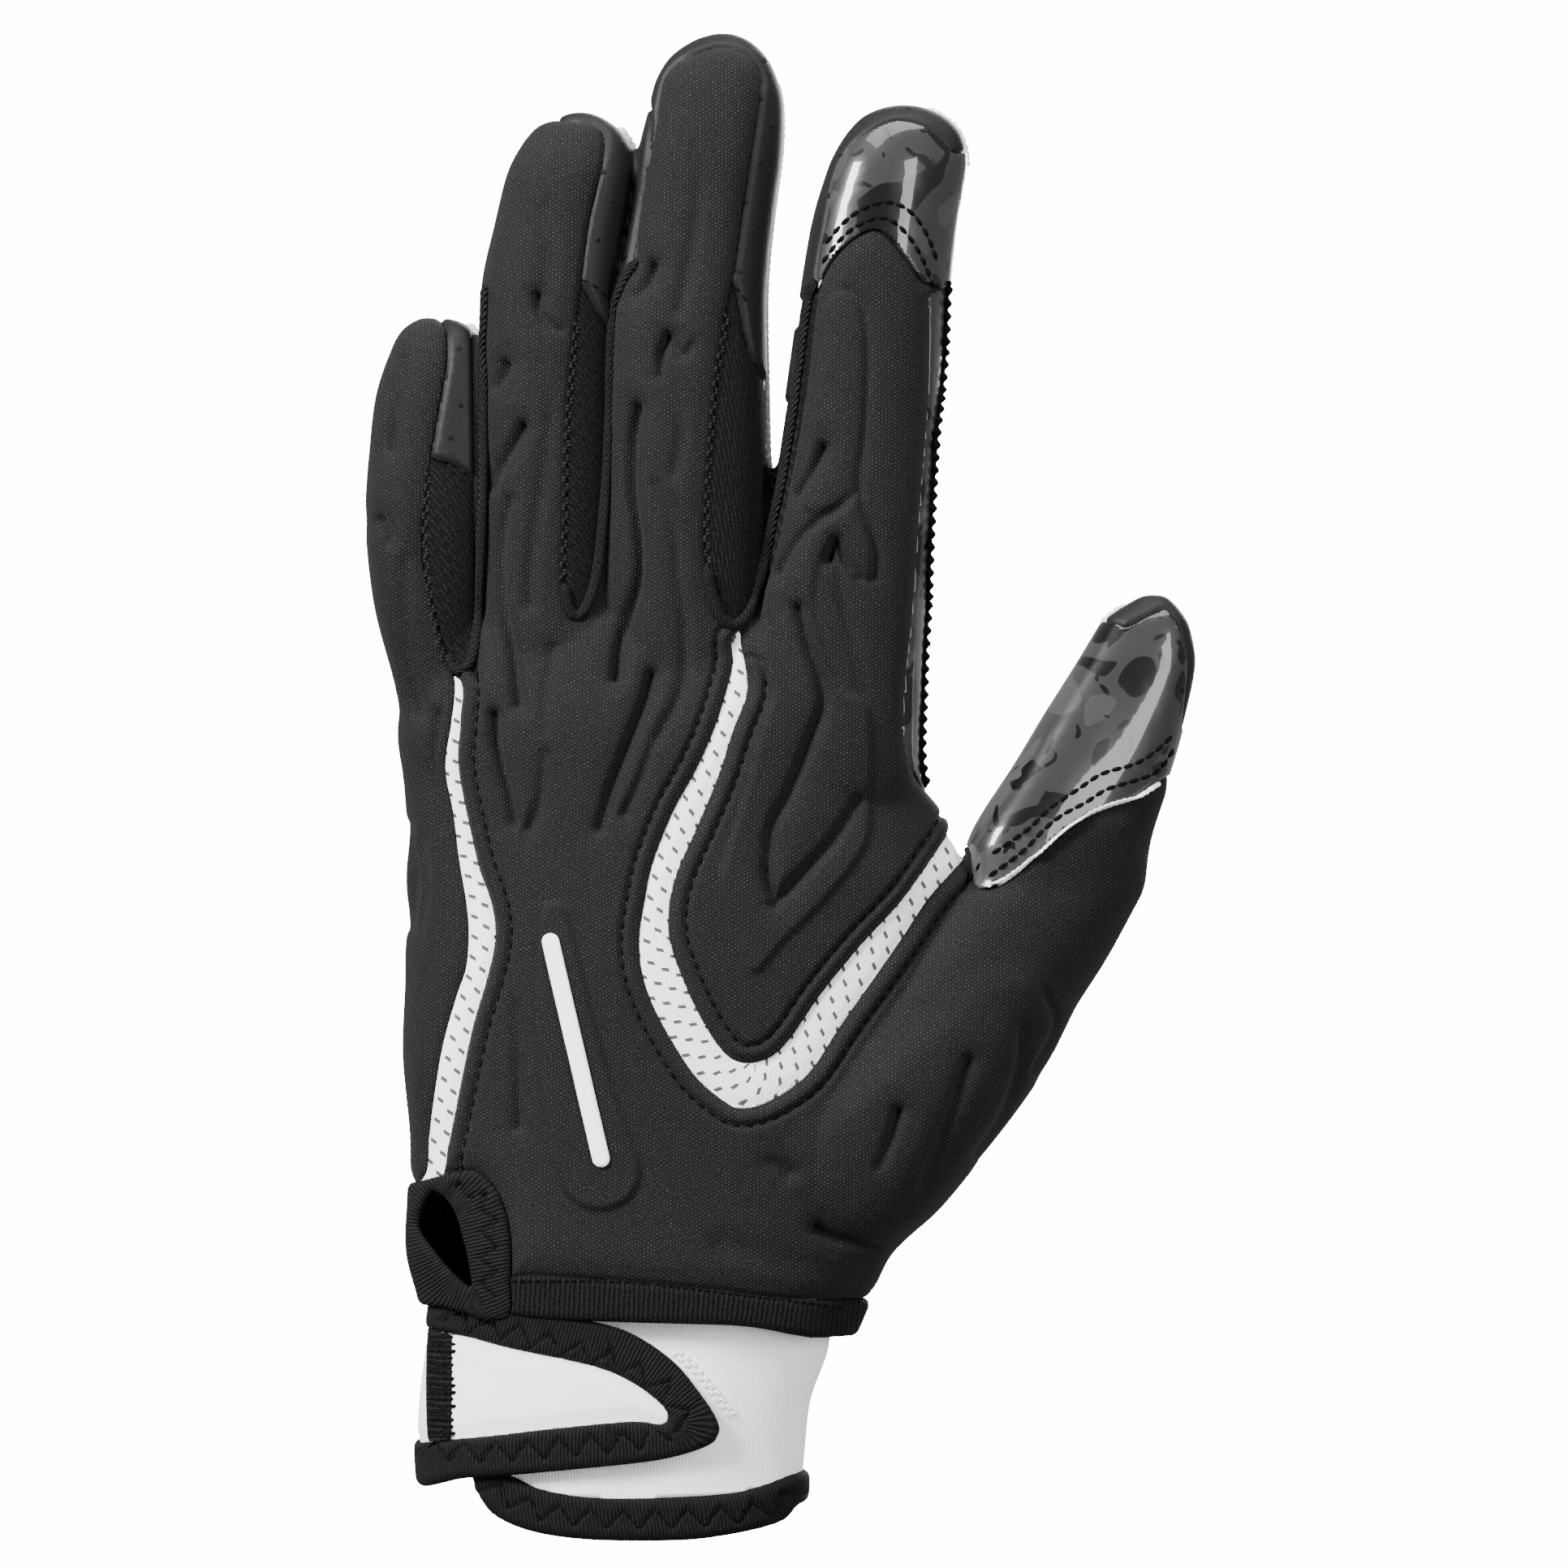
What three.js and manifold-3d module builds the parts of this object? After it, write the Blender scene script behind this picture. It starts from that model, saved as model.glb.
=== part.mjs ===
// Football receiver glove for the left hand, held as a hand would fill it, fingers up.
// X runs towards the thumb, Y from the back of the hand to the palm, Z up to the fingertips.
// The origin lies in the middle of the cuff's lower opening.
import * as THREE from "three";
import { mergeVertices } from "three/addons/utils/BufferGeometryUtils.js";
import Module from "manifold-3d";

const wasm = await Module();
wasm.setup();

// Driving dimensions in millimetres
const glove_height = 245;
const hand_breadth = 83;
const hand_depth = 38;
const finger_bend = 8;
const thumb_reach = 13;
const knuckle_arch = 3;
const wall = 2.2;
const cuff_wall = 1.6;
const seam_gap = 0.3;
const palm_seam_offset = 2.4;
const groove_depth = 1.1;
const binding_rise = 0.8;
const strap_thickness = 2.2;
const strap_binding_rise = 0.7;
const emblem_thickness = 0.8;
const stitched_band_thickness = 0.7;

// Facets round one section, outside and inside the wall, and facets of the seam surface
const hand_facets = 20;
const finger_facets = 10;
const cuff_facets = 20;
const hand_lining_facets = 14;
const finger_lining_facets = 8;
const seam_columns = 6;
const seam_rows = 7;
const section_squareness = 2.4;

// Sections of the hand and cuff. up is a percentage of glove_height, left and right of hand_breadth,
// back and palm of hand_depth.
const hand_sections = [
  { up: 13.1, left: -40.0, right: 44.8, back: -52, palm: 52 },
  { up: 15.8, left: -40.0, right: 46.4, back: -52, palm: 52 },
  { up: 19.0, left: -41.0, right: 51.0, back: -51, palm: 54 },
  { up: 26.6, left: -40.6, right: 58.2, back: -48, palm: 57 },
  { up: 32.0, left: -42.1, right: 63.0, back: -47, palm: 56 },
  { up: 37.4, left: -41.6, right: 66.9, back: -46, palm: 53 },
  { up: 43.3, left: -41.8, right: 69.0, back: -43, palm: 48 },
  { up: 46.0, left: -41.6, right: 65.5, back: -41, palm: 46 },
  { up: 49.8, left: -41.8, right: 59.8, back: -39, palm: 43 },
  { up: 53.6, left: -43.2, right: 58.5, back: -37, palm: 40 },
  { up: 56.5, left: -41.5, right: 57.0, back: -33, palm: 36 },
  { up: 59.5, left: -38.5, right: 54.5, back: -26, palm: 28 },
  { up: 61.5, left: -31.0, right: 48.0, back: -15, palm: 16 },
];
const cuff_sections = [
  { up: -1.0, left: -35.1, right: 35.4, back: -50, palm: 50 },
  { up: 5.0, left: -36.8, right: 35.9, back: -49, palm: 49 },
  { up: 8.5, left: -36.8, right: 36.8, back: -48, palm: 48 },
  { up: 12.5, left: -35.4, right: 40.5, back: -45, palm: 45 },
  { up: 16.6, left: -33.6, right: 41.3, back: -44, palm: 44 },
];

// Sections of the fingers and thumb. fullness is the depth as a share of the width.
const digit_sections = {
  little: {
    fullness: 0.98,
    sections: [
      { up: 50.3, left: -41.0, right: -27.9 },
      { up: 55.7, left: -42.7, right: -28.2 },
      { up: 61.1, left: -46.7, right: -27.3 },
      { up: 67.6, left: -48.9, right: -26.1 },
      { up: 74.1, left: -47.7, right: -26.3 },
      { up: 76.2, left: -46.7, right: -26.5 },
      { up: 78.4, left: -44.6, right: -27.0 },
      { up: 79.8, left: -42.6, right: -28.6 },
      { up: 80.5, left: -40.3, right: -30.8 },
      { up: 80.9, left: -37.5, right: -33.3 },
    ],
  },
  ring: {
    fullness: 0.98,
    sections: [
      { up: 50.3, left: -26.3, right: -3.2 },
      { up: 59.0, left: -26.3, right: -2.6 },
      { up: 69.8, left: -26.3, right: -1.6 },
      { up: 80.6, left: -26.3, right: -1.4 },
      { up: 87.0, left: -23.7, right: 0.2 },
      { up: 90.3, left: -21.4, right: 1.8 },
      { up: 91.9, left: -19.3, right: 1.6 },
      { up: 93.3, left: -16.4, right: -0.2 },
      { up: 94.2, left: -12.9, right: -3.3 },
      { up: 94.7, left: -9.7, right: -6.5 },
    ],
  },
  middle: {
    fullness: 0.92,
    sections: [
      { up: 50.3, left: -2.4, right: 25.5 },
      { up: 59.0, left: -2.6, right: 27.4 },
      { up: 80.6, left: -2.1, right: 27.9 },
      { up: 88.7, left: 2.7, right: 29.6 },
      { up: 91.9, left: 3.8, right: 30.9 },
      { up: 95.1, left: 6.1, right: 31.2 },
      { up: 96.8, left: 7.3, right: 30.3 },
      { up: 98.4, left: 10.0, right: 28.2 },
      { up: 99.5, left: 14.3, right: 25.0 },
      { up: 100.0, left: 18.3, right: 21.8 },
    ],
  },
  index: {
    fullness: 0.88,
    sections: [
      { up: 50.3, left: 24.7, right: 57.9 },
      { up: 59.0, left: 26.3, right: 59.0 },
      { up: 64.4, left: 28.1, right: 60.2 },
      { up: 74.1, left: 32.2, right: 61.8 },
      { up: 87.0, left: 37.9, right: 65.2 },
      { up: 90.3, left: 40.6, right: 66.8 },
      { up: 91.9, left: 42.4, right: 67.3 },
      { up: 93.5, left: 45.3, right: 66.1 },
      { up: 94.6, left: 48.6, right: 63.0 },
      { up: 95.2, left: 53.1, right: 58.8 },
    ],
  },
  thumb: {
    fullness: 0.86,
    sections: [
      { up: 13.6, left: 18.3, right: 44.8 },
      { up: 22.2, left: 20.7, right: 61.7 },
      { up: 25.5, left: 24.7, right: 69.7 },
      { up: 28.7, left: 30.3, right: 76.8 },
      { up: 35.2, left: 47.0, right: 88.3 },
      { up: 38.4, left: 55.0, right: 94.4 },
      { up: 43.3, left: 68.1, right: 102.0 },
      { up: 46.5, left: 69.5, right: 103.4 },
      { up: 51.4, left: 78.6, right: 108.2 },
      { up: 54.6, left: 84.3, right: 110.8 },
      { up: 57.9, left: 90.5, right: 112.8 },
      { up: 59.8, left: 93.9, right: 112.2 },
      { up: 61.1, left: 96.6, right: 110.9 },
      { up: 62.5, left: 103.1, right: 107.3 },
    ],
  },
};

// Outlines seen from the back of the hand. Each point is [across, up], as percentages of hand_breadth and
// glove_height. Sides that meet a piece listed earlier run on under it and are trimmed by it.
const outlines = {
  vent_hole: [
    [-39.8, 20.9], [-37.8, 22.1], [-35.1, 23.0], [-32.7, 22.1], [-30.3, 20.0], [-28.8, 17.4], [-29.2, 16.3],
    [-33.9, 16.8], [-36.2, 18.5],
  ],
  vent_binding: [
    [-34.6, 24.1], [-27.9, 24.4], [-23.7, 23.0], [-21.5, 20.6], [-21.2, 17.4], [-21.8, 14.8], [-32.7, 14.8],
    [-39.0, 15.4], [-45.4, 17.9], [-45.4, 22.4],
  ],
  back_hem: [
    [-21.5, 17.4], [-5.6, 17.4], [18.3, 16.7], [32.7, 16.0], [50.2, 15.6], [50.2, 13.0], [42.2, 13.1],
    [34.3, 13.6], [22.3, 14.6], [-4.0, 14.6], [-21.5, 15.1],
  ],
  index_cap: [
    [53.4, 94.0], [59.8, 93.6], [64.9, 92.0], [71.7, 91.6], [71.7, 83.0], [60.0, 82.6], [50.5, 82.0],
    [41.6, 82.9], [39.0, 83.8], [41.0, 87.6], [42.2, 90.3], [45.4, 92.4],
  ],
  index_cap_fold: [
    [53.4, 94.0], [59.8, 93.6], [64.9, 92.0], [71.7, 91.6], [71.7, 83.0], [60.0, 82.6], [53.4, 82.2],
  ],
  grip_fold: [
    [62.3, 82.9], [60.6, 80.6], [59.8, 76.8], [57.4, 66.0], [56.3, 56.3], [56.6, 52.5], [58.2, 50.9],
    [61.4, 49.0], [66.5, 47.6], [85.0, 47.6], [85.0, 82.9],
  ],
  index_panel: [
    [50.5, 86.7], [55.0, 84.9], [59.0, 82.5], [64.0, 80.6], [62.0, 60.0], [62.0, 52.0], [66.9, 47.8],
    [61.4, 45.2], [55.0, 42.2], [47.0, 39.3],
    [39.0, 36.0], [33.5, 33.3], [29.5, 32.0], [24.7, 31.6], [20.7, 32.2], [16.7, 34.1], [12.8, 36.8],
    [10.0, 39.5], [9.7, 41.7], [11.2, 44.1], [15.1, 47.1], [19.1, 50.3], [22.3, 53.6], [24.7, 55.7],
    [24.9, 57.3], [23.7, 59.8], [26.3, 61.7], [29.5, 64.4], [33.0, 69.8], [35.9, 75.2], [37.5, 79.5],
    [39.4, 82.7], [42.2, 84.3], [46.1, 85.7],
  ],
  v_insert: [
    [23.7, 60.3], [22.0, 59.5], [22.0, 57.9], [20.4, 55.7], [18.0, 53.3], [14.8, 50.9], [10.4, 48.2],
    [6.5, 44.9], [4.5, 42.2], [3.2, 39.5], [4.0, 37.4], [6.4, 35.2], [10.4, 32.8], [15.1, 30.6],
    [19.9, 29.3], [23.1, 28.6], [29.5, 28.8], [37.5, 30.3], [43.8, 32.5], [50.2, 36.0], [55.8, 38.4],
    [61.4, 41.7], [66.1, 44.0], [70.0, 45.4], [68.0, 47.7], [53.4, 50.9], [26.3, 59.0],
  ],
  little_panel: [
    [-39.0, 80.0], [-34.6, 79.8], [-33.9, 77.1], [-35.7, 75.2], [-37.9, 71.4], [-39.0, 66.0], [-37.9, 63.0],
    [-35.1, 59.5], [-32.7, 56.9], [-33.3, 54.1], [-34.4, 51.9], [-34.3, 50.3], [-33.0, 48.2], [-31.7, 44.9],
    [-30.3, 42.2], [-29.8, 40.1], [-30.3, 37.9], [-31.9, 36.3], [-33.9, 34.1], [-35.4, 32.0], [-37.0, 28.7],
    [-37.8, 26.6], [-39.0, 23.9], [-47.0, 23.9], [-56.0, 48.2], [-56.0, 78.4], [-45.4, 80.0],
  ],
  side_insert: [
    [-32.2, 57.1], [-31.4, 54.1], [-31.9, 51.9], [-31.2, 49.8], [-29.5, 47.1], [-27.6, 44.4], [-25.5, 42.5],
    [-24.4, 40.6], [-24.7, 39.0], [-26.3, 36.8], [-28.7, 34.1], [-30.8, 30.9], [-32.4, 28.2], [-33.8, 26.0],
    [-35.4, 23.9], [-42.2, 23.9], [-45.4, 37.4], [-45.4, 55.7],
  ],
  back_panel: [
    [-7.5, 94.1], [-4.3, 93.7], [-3.3, 92.7], [-3.7, 91.1], [-4.8, 89.5], [-6.4, 87.0], [-7.7, 83.5],
    [-9.1, 79.5], [-10.4, 74.1], [-10.8, 68.7], [-11.2, 63.3], [-10.0, 61.3], [-8.4, 60.9], [-6.9, 61.4],
    [-4.8, 63.6], [-3.7, 67.3], [-2.4, 72.7], [-1.8, 77.9], [-0.8, 82.7], [2.7, 84.8], [3.2, 87.0],
    [4.8, 90.3], [6.4, 93.0], [8.4, 97.0], [13.5, 98.5], [19.9, 99.1], [25.0, 98.5], [27.6, 97.2],
    [27.3, 95.7], [25.8, 92.4], [24.2, 88.9], [22.3, 84.3], [20.2, 80.6], [18.3, 75.2], [17.1, 70.0],
    [16.4, 66.0], [17.1, 63.3], [19.1, 61.0], [21.8, 60.2], [37.5, 53.6], [69.0, 45.5], [70.8, 43.0],
    [77.3, 43.6], [82.1, 44.8], [85.9, 46.2], [91.8, 47.9], [101.2, 49.0], [106.3, 50.0], [117.1, 50.9],
    [117.1, 10.4], [-47.0, 10.4], [-47.0, 23.9], [-42.2, 37.4], [-31.7, 56.9], [-27.9, 58.7],
    [-29.0, 83.3], [-26.3, 91.4], [-18.3, 94.1],
  ],
  thumb_cap: [
    [97.1, 60.5], [102.8, 60.8], [106.3, 61.0], [108.5, 59.5], [110.8, 56.8], [111.1, 54.6], [110.3, 53.3],
    [114.0, 50.3], [106.3, 50.0], [101.2, 49.0], [91.8, 47.9], [85.9, 46.2], [82.1, 44.8], [77.3, 43.6],
    [70.8, 43.0], [66.1, 43.3], [66.1, 48.2], [85.3, 60.0],
  ],
  little_fourchette: [
    [-50.0, 81.6], [-19.9, 81.6], [-19.9, 69.8], [-26.3, 69.9], [-32.7, 71.1], [-37.9, 71.9], [-50.0, 76.2],
  ],
  ring_fourchette: [
    [-26.3, 95.7], [5.6, 95.7], [1.6, 84.0], [0.0, 79.6], [-2.4, 80.3], [-8.0, 83.5], [-10.4, 86.0],
  ],
  middle_fourchette: [
    [2.4, 100.5], [34.3, 100.5], [34.3, 76.8], [26.3, 78.1], [22.3, 83.0], [15.1, 86.0], [3.0, 83.7],
    [0.4, 83.5], [-1.1, 91.4],
  ],
  index_fourchette: [
    [34.3, 96.2], [70.9, 96.2], [70.9, 91.9], [37.5, 82.7], [31.1, 82.7],
  ],
  thumb_fourchette: [
    [91.6, 63.3], [117.1, 63.3], [117.1, 50.3], [107.6, 50.3],
  ],
  little_ring_gusset: [
    [-42.2, 73.0], [-26.6, 69.8], [-26.6, 57.3], [-28.7, 57.1], [-31.7, 57.1], [-42.2, 59.0],
  ],
  ring_middle_gusset: [
    [-12.0, 83.5], [-0.5, 83.0], [4.0, 64.4], [-4.0, 59.5], [-8.4, 60.0], [-13.5, 61.1],
  ],
  middle_index_gusset: [
    [13.5, 83.5], [35.9, 82.7], [35.1, 75.2], [31.1, 64.4], [26.3, 59.5], [21.5, 59.5], [13.5, 61.1],
  ],
  emblem_pad: [[-17.0, 41.8], [-12.0, 42.2], [3.0, 25.0], [-0.5, 22.0], [-7.0, 22.4], [-16.5, 37.0]],
  emblem: [[-14.0, 40.6], [-12.4, 40.6], [0.0, 25.0], [-1.6, 24.0], [-4.4, 24.0], [-14.6, 38.6]],
  strap: [
    [-45.4, 15.7], [-21.5, 15.7], [-5.6, 14.6], [2.4, 13.8], [10.4, 12.0], [15.9, 9.8], [19.1, 8.1],
    [19.3, 7.1], [16.7, 6.3], [6.4, 5.4], [-13.5, 4.7], [-29.5, 4.2], [-45.4, 4.0],
  ],
  strap_field: [
    [-45.4, 13.6], [-32.4, 13.6], [-21.5, 12.8], [-5.6, 11.7], [2.4, 10.6], [8.0, 9.2], [9.6, 8.3],
    [8.0, 7.8], [2.4, 8.0], [-13.5, 7.5], [-32.7, 6.7], [-45.4, 6.7],
  ],
  strap_root: [
    [-45.4, 15.7], [-32.7, 15.3], [-19.9, 13.6], [-10.4, 13.0], [-10.4, 6.5], [-23.1, 5.0], [-45.4, 4.0],
  ],
  strap_root_field: [
    [-45.4, 13.6], [-32.7, 13.3], [-19.9, 12.1], [-10.4, 11.7], [-10.4, 7.8], [-23.1, 6.9], [-45.4, 6.7],
  ],
  stitched_band: [[-36.8, 13.3], [-33.6, 13.3], [-33.6, 7.0], [-36.8, 7.0]],
  cuff_band: [
    [-46.0, 16.3], [50.0, 16.3], [50.0, 4.3], [35.1, 4.3], [29.5, 3.6], [18.3, 3.1], [-0.8, 2.9],
    [-13.5, 3.3], [-20.7, 4.3], [-28.0, 5.0], [-46.0, 6.2],
  ],
  cuff_binding: [
    [-46.0, 6.0], [-28.0, 4.9], [-20.7, 4.2], [-13.5, 3.2], [-0.8, 2.8], [18.3, 3.0], [29.5, 3.5],
    [35.1, 4.2], [43.8, 4.3], [43.8, 2.5], [34.6, 2.3], [30.3, 1.2], [18.3, 0.4], [2.4, 0.3],
    [-13.5, 0.6], [-21.5, 1.2], [-27.5, 2.4], [-46.0, 4.4],
  ],
};

// Valleys pressed into the padding, each a short stroke through three points. Places are percentages of
// hand_breadth across and glove_height up, wide of hand_breadth, and deep is a share of groove_depth.
const grooves = [
  { panel: "back", x1: -13.5, z1: 88.8, x2: -14.0, z2: 87.6, x3: -14.0, z3: 86.1, wide: 2.2, deep: 0.6 },
  { panel: "back", x1: -16.7, z1: 82.6, x2: -15.5, z2: 81.7, x3: -15.0, z3: 80.8, wide: 2.6, deep: 1.0 },
  { panel: "back", x1: -16.1, z1: 78.9, x2: -15.3, z2: 74.1, x3: -13.5, z3: 67.6, wide: 1.9, deep: 0.6 },
  { panel: "back", x1: -22.0, z1: 77.7, x2: -22.8, z2: 77.2, x3: -23.3, z3: 76.6, wide: 2.2, deep: 1.0 },
  { panel: "back", x1: -19.6, z1: 74.1, x2: -22.2, z2: 71.9, x3: -24.1, z3: 69.9, wide: 2.2, deep: 1.0 },
  { panel: "back", x1: -22.0, z1: 69.1, x2: -23.7, z2: 64.4, x3: -23.4, z3: 59.0, wide: 1.9, deep: 1.0 },
  { panel: "back", x1: -16.1, z1: 64.9, x2: -16.6, z2: 63.3, x3: -16.9, z3: 61.8, wide: 2.9, deep: 0.8 },
  { panel: "back", x1: 15.5, z1: 91.8, x2: 16.1, z2: 87.6, x3: 12.9, z3: 82.1, wide: 2.6, deep: 0.6 },
  { panel: "back", x1: 6.9, z1: 84.9, x2: 4.9, z2: 83.7, x3: 3.8, z3: 82.3, wide: 2.6, deep: 1.0 },
  { panel: "back", x1: 9.1, z1: 79.7, x2: 10.4, z2: 78.8, x3: 8.0, z3: 77.4, wide: 2.6, deep: 1.0 },
  { panel: "back", x1: 11.6, z1: 75.2, x2: 12.9, z2: 72.5, x3: 10.7, z3: 70.8, wide: 1.9, deep: 0.6 },
  { panel: "back", x1: 3.3, z1: 75.2, x2: 1.4, z2: 70.0, x3: 3.0, z3: 66.0, wide: 2.2, deep: 1.0 },
  { panel: "back", x1: 3.2, z1: 63.6, x2: 2.7, z2: 60.9, x3: -0.8, z3: 56.8, wide: 1.9, deep: 0.9 },
  { panel: "back", x1: 5.1, z1: 70.2, x2: 10.7, z2: 67.1, x3: 13.2, z3: 60.6, wide: 1.9, deep: 0.6 },
  { panel: "back", x1: -24.7, z1: 54.8, x2: -22.8, z2: 51.4, x3: -20.6, z3: 47.8, wide: 2.6, deep: 1.0 },
  { panel: "back", x1: -12.9, z1: 59.0, x2: -14.2, z2: 53.3, x3: -17.5, z3: 47.4, wide: 2.6, deep: 1.0 },
  { panel: "back", x1: 6.5, z1: 57.5, x2: 2.1, z2: 54.1, x3: -2.4, z3: 48.2, wide: 2.9, deep: 1.0 },
  { panel: "back", x1: 12.9, z1: 56.9, x2: 8.8, z2: 52.2, x3: 2.5, z3: 48.4, wide: 2.6, deep: 0.9 },
  { panel: "back", x1: -21.8, z1: 43.6, x2: -10.4, z2: 42.9, x3: 1.6, z3: 43.6, wide: 3.5, deep: 0.5 },
  { panel: "back", x1: -19.9, z1: 35.1, x2: -20.4, z2: 31.4, x3: -20.4, z3: 27.5, wide: 2.2, deep: 0.7 },
  { panel: "back", x1: 22.3, z1: 26.8, x2: 31.1, z2: 24.4, x3: 39.8, z3: 22.8, wide: 2.2, deep: 0.8 },
  { panel: "back", x1: 37.9, z1: 20.9, x2: 42.6, z2: 19.9, x3: 49.6, z3: 19.2, wide: 2.9, deep: 1.0 },
  { panel: "back", x1: 54.2, z1: 28.3, x2: 52.9, z2: 26.8, x3: 52.1, z3: 25.4, wide: 2.6, deep: 1.0 },
  { panel: "back", x1: 66.8, z1: 31.7, x2: 63.8, z2: 26.6, x3: 54.1, z3: 21.5, wide: 2.2, deep: 0.9 },
  { panel: "back", x1: 77.9, z1: 33.9, x2: 77.8, z2: 32.9, x3: 77.5, z3: 31.9, wide: 1.9, deep: 0.8 },
  { panel: "back", x1: 19.9, z1: 20.4, x2: 24.7, z2: 19.5, x3: 30.4, z3: 18.5, wide: 2.2, deep: 0.6 },
  { panel: "little", x1: -42.6, z1: 78.0, x2: -43.8, z2: 75.2, x3: -44.8, z3: 72.4, wide: 2.2, deep: 0.6 },
  { panel: "little", x1: -47.0, z1: 67.6, x2: -45.7, z2: 67.1, x3: -44.5, z3: 66.3, wide: 1.9, deep: 1.0 },
  { panel: "index", x1: 46.5, z1: 82.2, x2: 48.6, z2: 79.5, x3: 47.3, z3: 74.1, wide: 1.9, deep: 0.6 },
  { panel: "index", x1: 46.5, z1: 70.3, x2: 49.2, z2: 66.8, x3: 48.6, z3: 63.6, wide: 1.9, deep: 0.6 },
  { panel: "index", x1: 40.4, z1: 72.2, x2: 37.8, z2: 70.6, x3: 36.1, z3: 69.2, wide: 2.6, deep: 1.0 },
  { panel: "index", x1: 42.2, z1: 66.3, x2: 44.1, z2: 65.2, x3: 45.7, z3: 64.0, wide: 2.9, deep: 1.0 },
  { panel: "index", x1: 40.3, z1: 64.0, x2: 44.5, z2: 60.9, x3: 47.0, z3: 56.8, wide: 1.9, deep: 0.8 },
  { panel: "index", x1: 35.1, z1: 61.8, x2: 40.0, z2: 56.3, x3: 34.3, z3: 49.6, wide: 2.9, deep: 1.0 },
  { panel: "index", x1: 46.4, z1: 48.9, x2: 37.5, z2: 45.2, x3: 30.3, z3: 41.8, wide: 2.9, deep: 1.0 },
  { panel: "index", x1: 27.3, z1: 47.6, x2: 24.7, z2: 43.8, x3: 26.3, z3: 40.6, wide: 2.6, deep: 0.7 },
];

// Lengths from the percentages
const across = (share) => (share / 100) * hand_breadth;
const upward = (share) => (share / 100) * glove_height;
const thickness = (share) => (share / 100) * hand_depth;
const fade = (low, high, value) => THREE.MathUtils.smoothstep(value, low, high);

// Middle plane of the hand: fingers bend to the palm, knuckles arch, and the thumb reaches forward
function middle(x, z) {
  const rise = Math.max(0, z - upward(55)) / upward(45);
  const bend = finger_bend * rise * rise * (1 - fade(across(62), across(75), x));
  const off_centre = (x - across(10)) / across(50);
  const arch = knuckle_arch * Math.min(1, off_centre * off_centre) * fade(upward(20), upward(45), z);
  const reach = thumb_reach * fade(across(50), across(108), x);
  return bend + arch + reach;
}

// Round a section like a soft rectangle
function sectionPoint(turn, half_width, half_depth) {
  const power = 2 / section_squareness;
  const c = Math.cos(turn);
  const s = Math.sin(turn);
  return [
    Math.sign(c) * Math.pow(Math.abs(c), power) * half_width,
    Math.sign(s) * Math.pow(Math.abs(s), power) * half_depth,
  ];
}

function toSolid(geometry) {
  geometry.deleteAttribute("normal");
  geometry.deleteAttribute("uv");
  const merged = mergeVertices(geometry, 1e-5);
  return new wasm.Manifold(new wasm.Mesh({
    numProp: 3,
    vertProperties: new Float32Array(merged.attributes.position.array),
    triVerts: new Uint32Array(merged.index.array),
  }));
}

// Closed loft through level sections, each grown outwards, or inwards where grow is negative
function loft(sections, facets, grow) {
  const positions = [];
  const faces = [];
  const kept = sections.filter((row) => row.half_width + grow > 0.8 && row.half_depth + grow > 0.6);
  for (const row of kept) {
    for (let i = 0; i < facets; i += 1) {
      const [x, y] = sectionPoint((i / facets) * 2 * Math.PI, row.half_width + grow, row.half_depth + grow);
      const px = row.x + x;
      positions.push(px, row.y + y + middle(px, row.z), row.z + (row.lift ?? 0) * grow);
    }
  }
  const last = kept.length - 1;
  for (let r = 0; r < last; r += 1) {
    for (let i = 0; i < facets; i += 1) {
      const a = r * facets + i;
      const b = r * facets + ((i + 1) % facets);
      faces.push(a, b, b + facets, a, b + facets, a + facets);
    }
  }
  for (let i = 1; i < facets - 1; i += 1) {
    faces.push(0, i + 1, i);
    faces.push(last * facets, last * facets + i, last * facets + i + 1);
  }
  const geometry = new THREE.BufferGeometry();
  geometry.setAttribute("position", new THREE.Float32BufferAttribute(positions, 3));
  geometry.setIndex(faces);
  return toSolid(geometry);
}

// Level sections of the hand or the cuff, from their table
function bodySections(table) {
  return table.map((row) => ({
    x: (across(row.left) + across(row.right)) / 2,
    y: (thickness(row.back) + thickness(row.palm)) / 2,
    z: upward(row.up),
    half_width: (across(row.right) - across(row.left)) / 2,
    half_depth: (thickness(row.palm) - thickness(row.back)) / 2,
  }));
}

// Level sections of one digit. The rows over the tip lift with the wall, so that it keeps its thickness.
function digitSections(digit) {
  const widest = Math.max(...digit.sections.map((row) => row.right - row.left));
  const depth_scale = hand_depth / hand_breadth / 0.458;
  return digit.sections.map((row, i) => {
    const half_width = (across(row.right) - across(row.left)) / 2;
    const tip = i > digit.sections.length - 5 && row.right - row.left < 0.9 * widest;
    return {
      x: (across(row.left) + across(row.right)) / 2,
      y: 0,
      z: upward(row.up),
      half_width,
      half_depth: half_width * digit.fullness * depth_scale,
      lift: tip ? 1 - (row.right - row.left) / widest : 0,
    };
  });
}

// Whole glove grown by one distance: hand, fingers and thumb joined
function handSolid(grow) {
  let solid = loft(bodySections(hand_sections), hand_facets, grow);
  for (const digit of Object.values(digit_sections)) {
    solid = solid.add(loft(digitSections(digit), finger_facets, grow));
  }
  return solid;
}

// Hollow of the glove, which runs on down through the wrist
function handHollow() {
  const rows = bodySections(hand_sections);
  const below = { ...rows[0], z: upward(6) };
  let solid = loft([below, ...rows], hand_lining_facets, -wall);
  for (const digit of Object.values(digit_sections)) {
    const kept = digitSections(digit).filter((row, i, all) => i % 2 === 0 || i > all.length - 4);
    solid = solid.add(loft(kept, finger_lining_facets, -wall));
  }
  return solid;
}

function cuffSolid(grow) {
  return loft(bodySections(cuff_sections), cuff_facets, grow);
}

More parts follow.
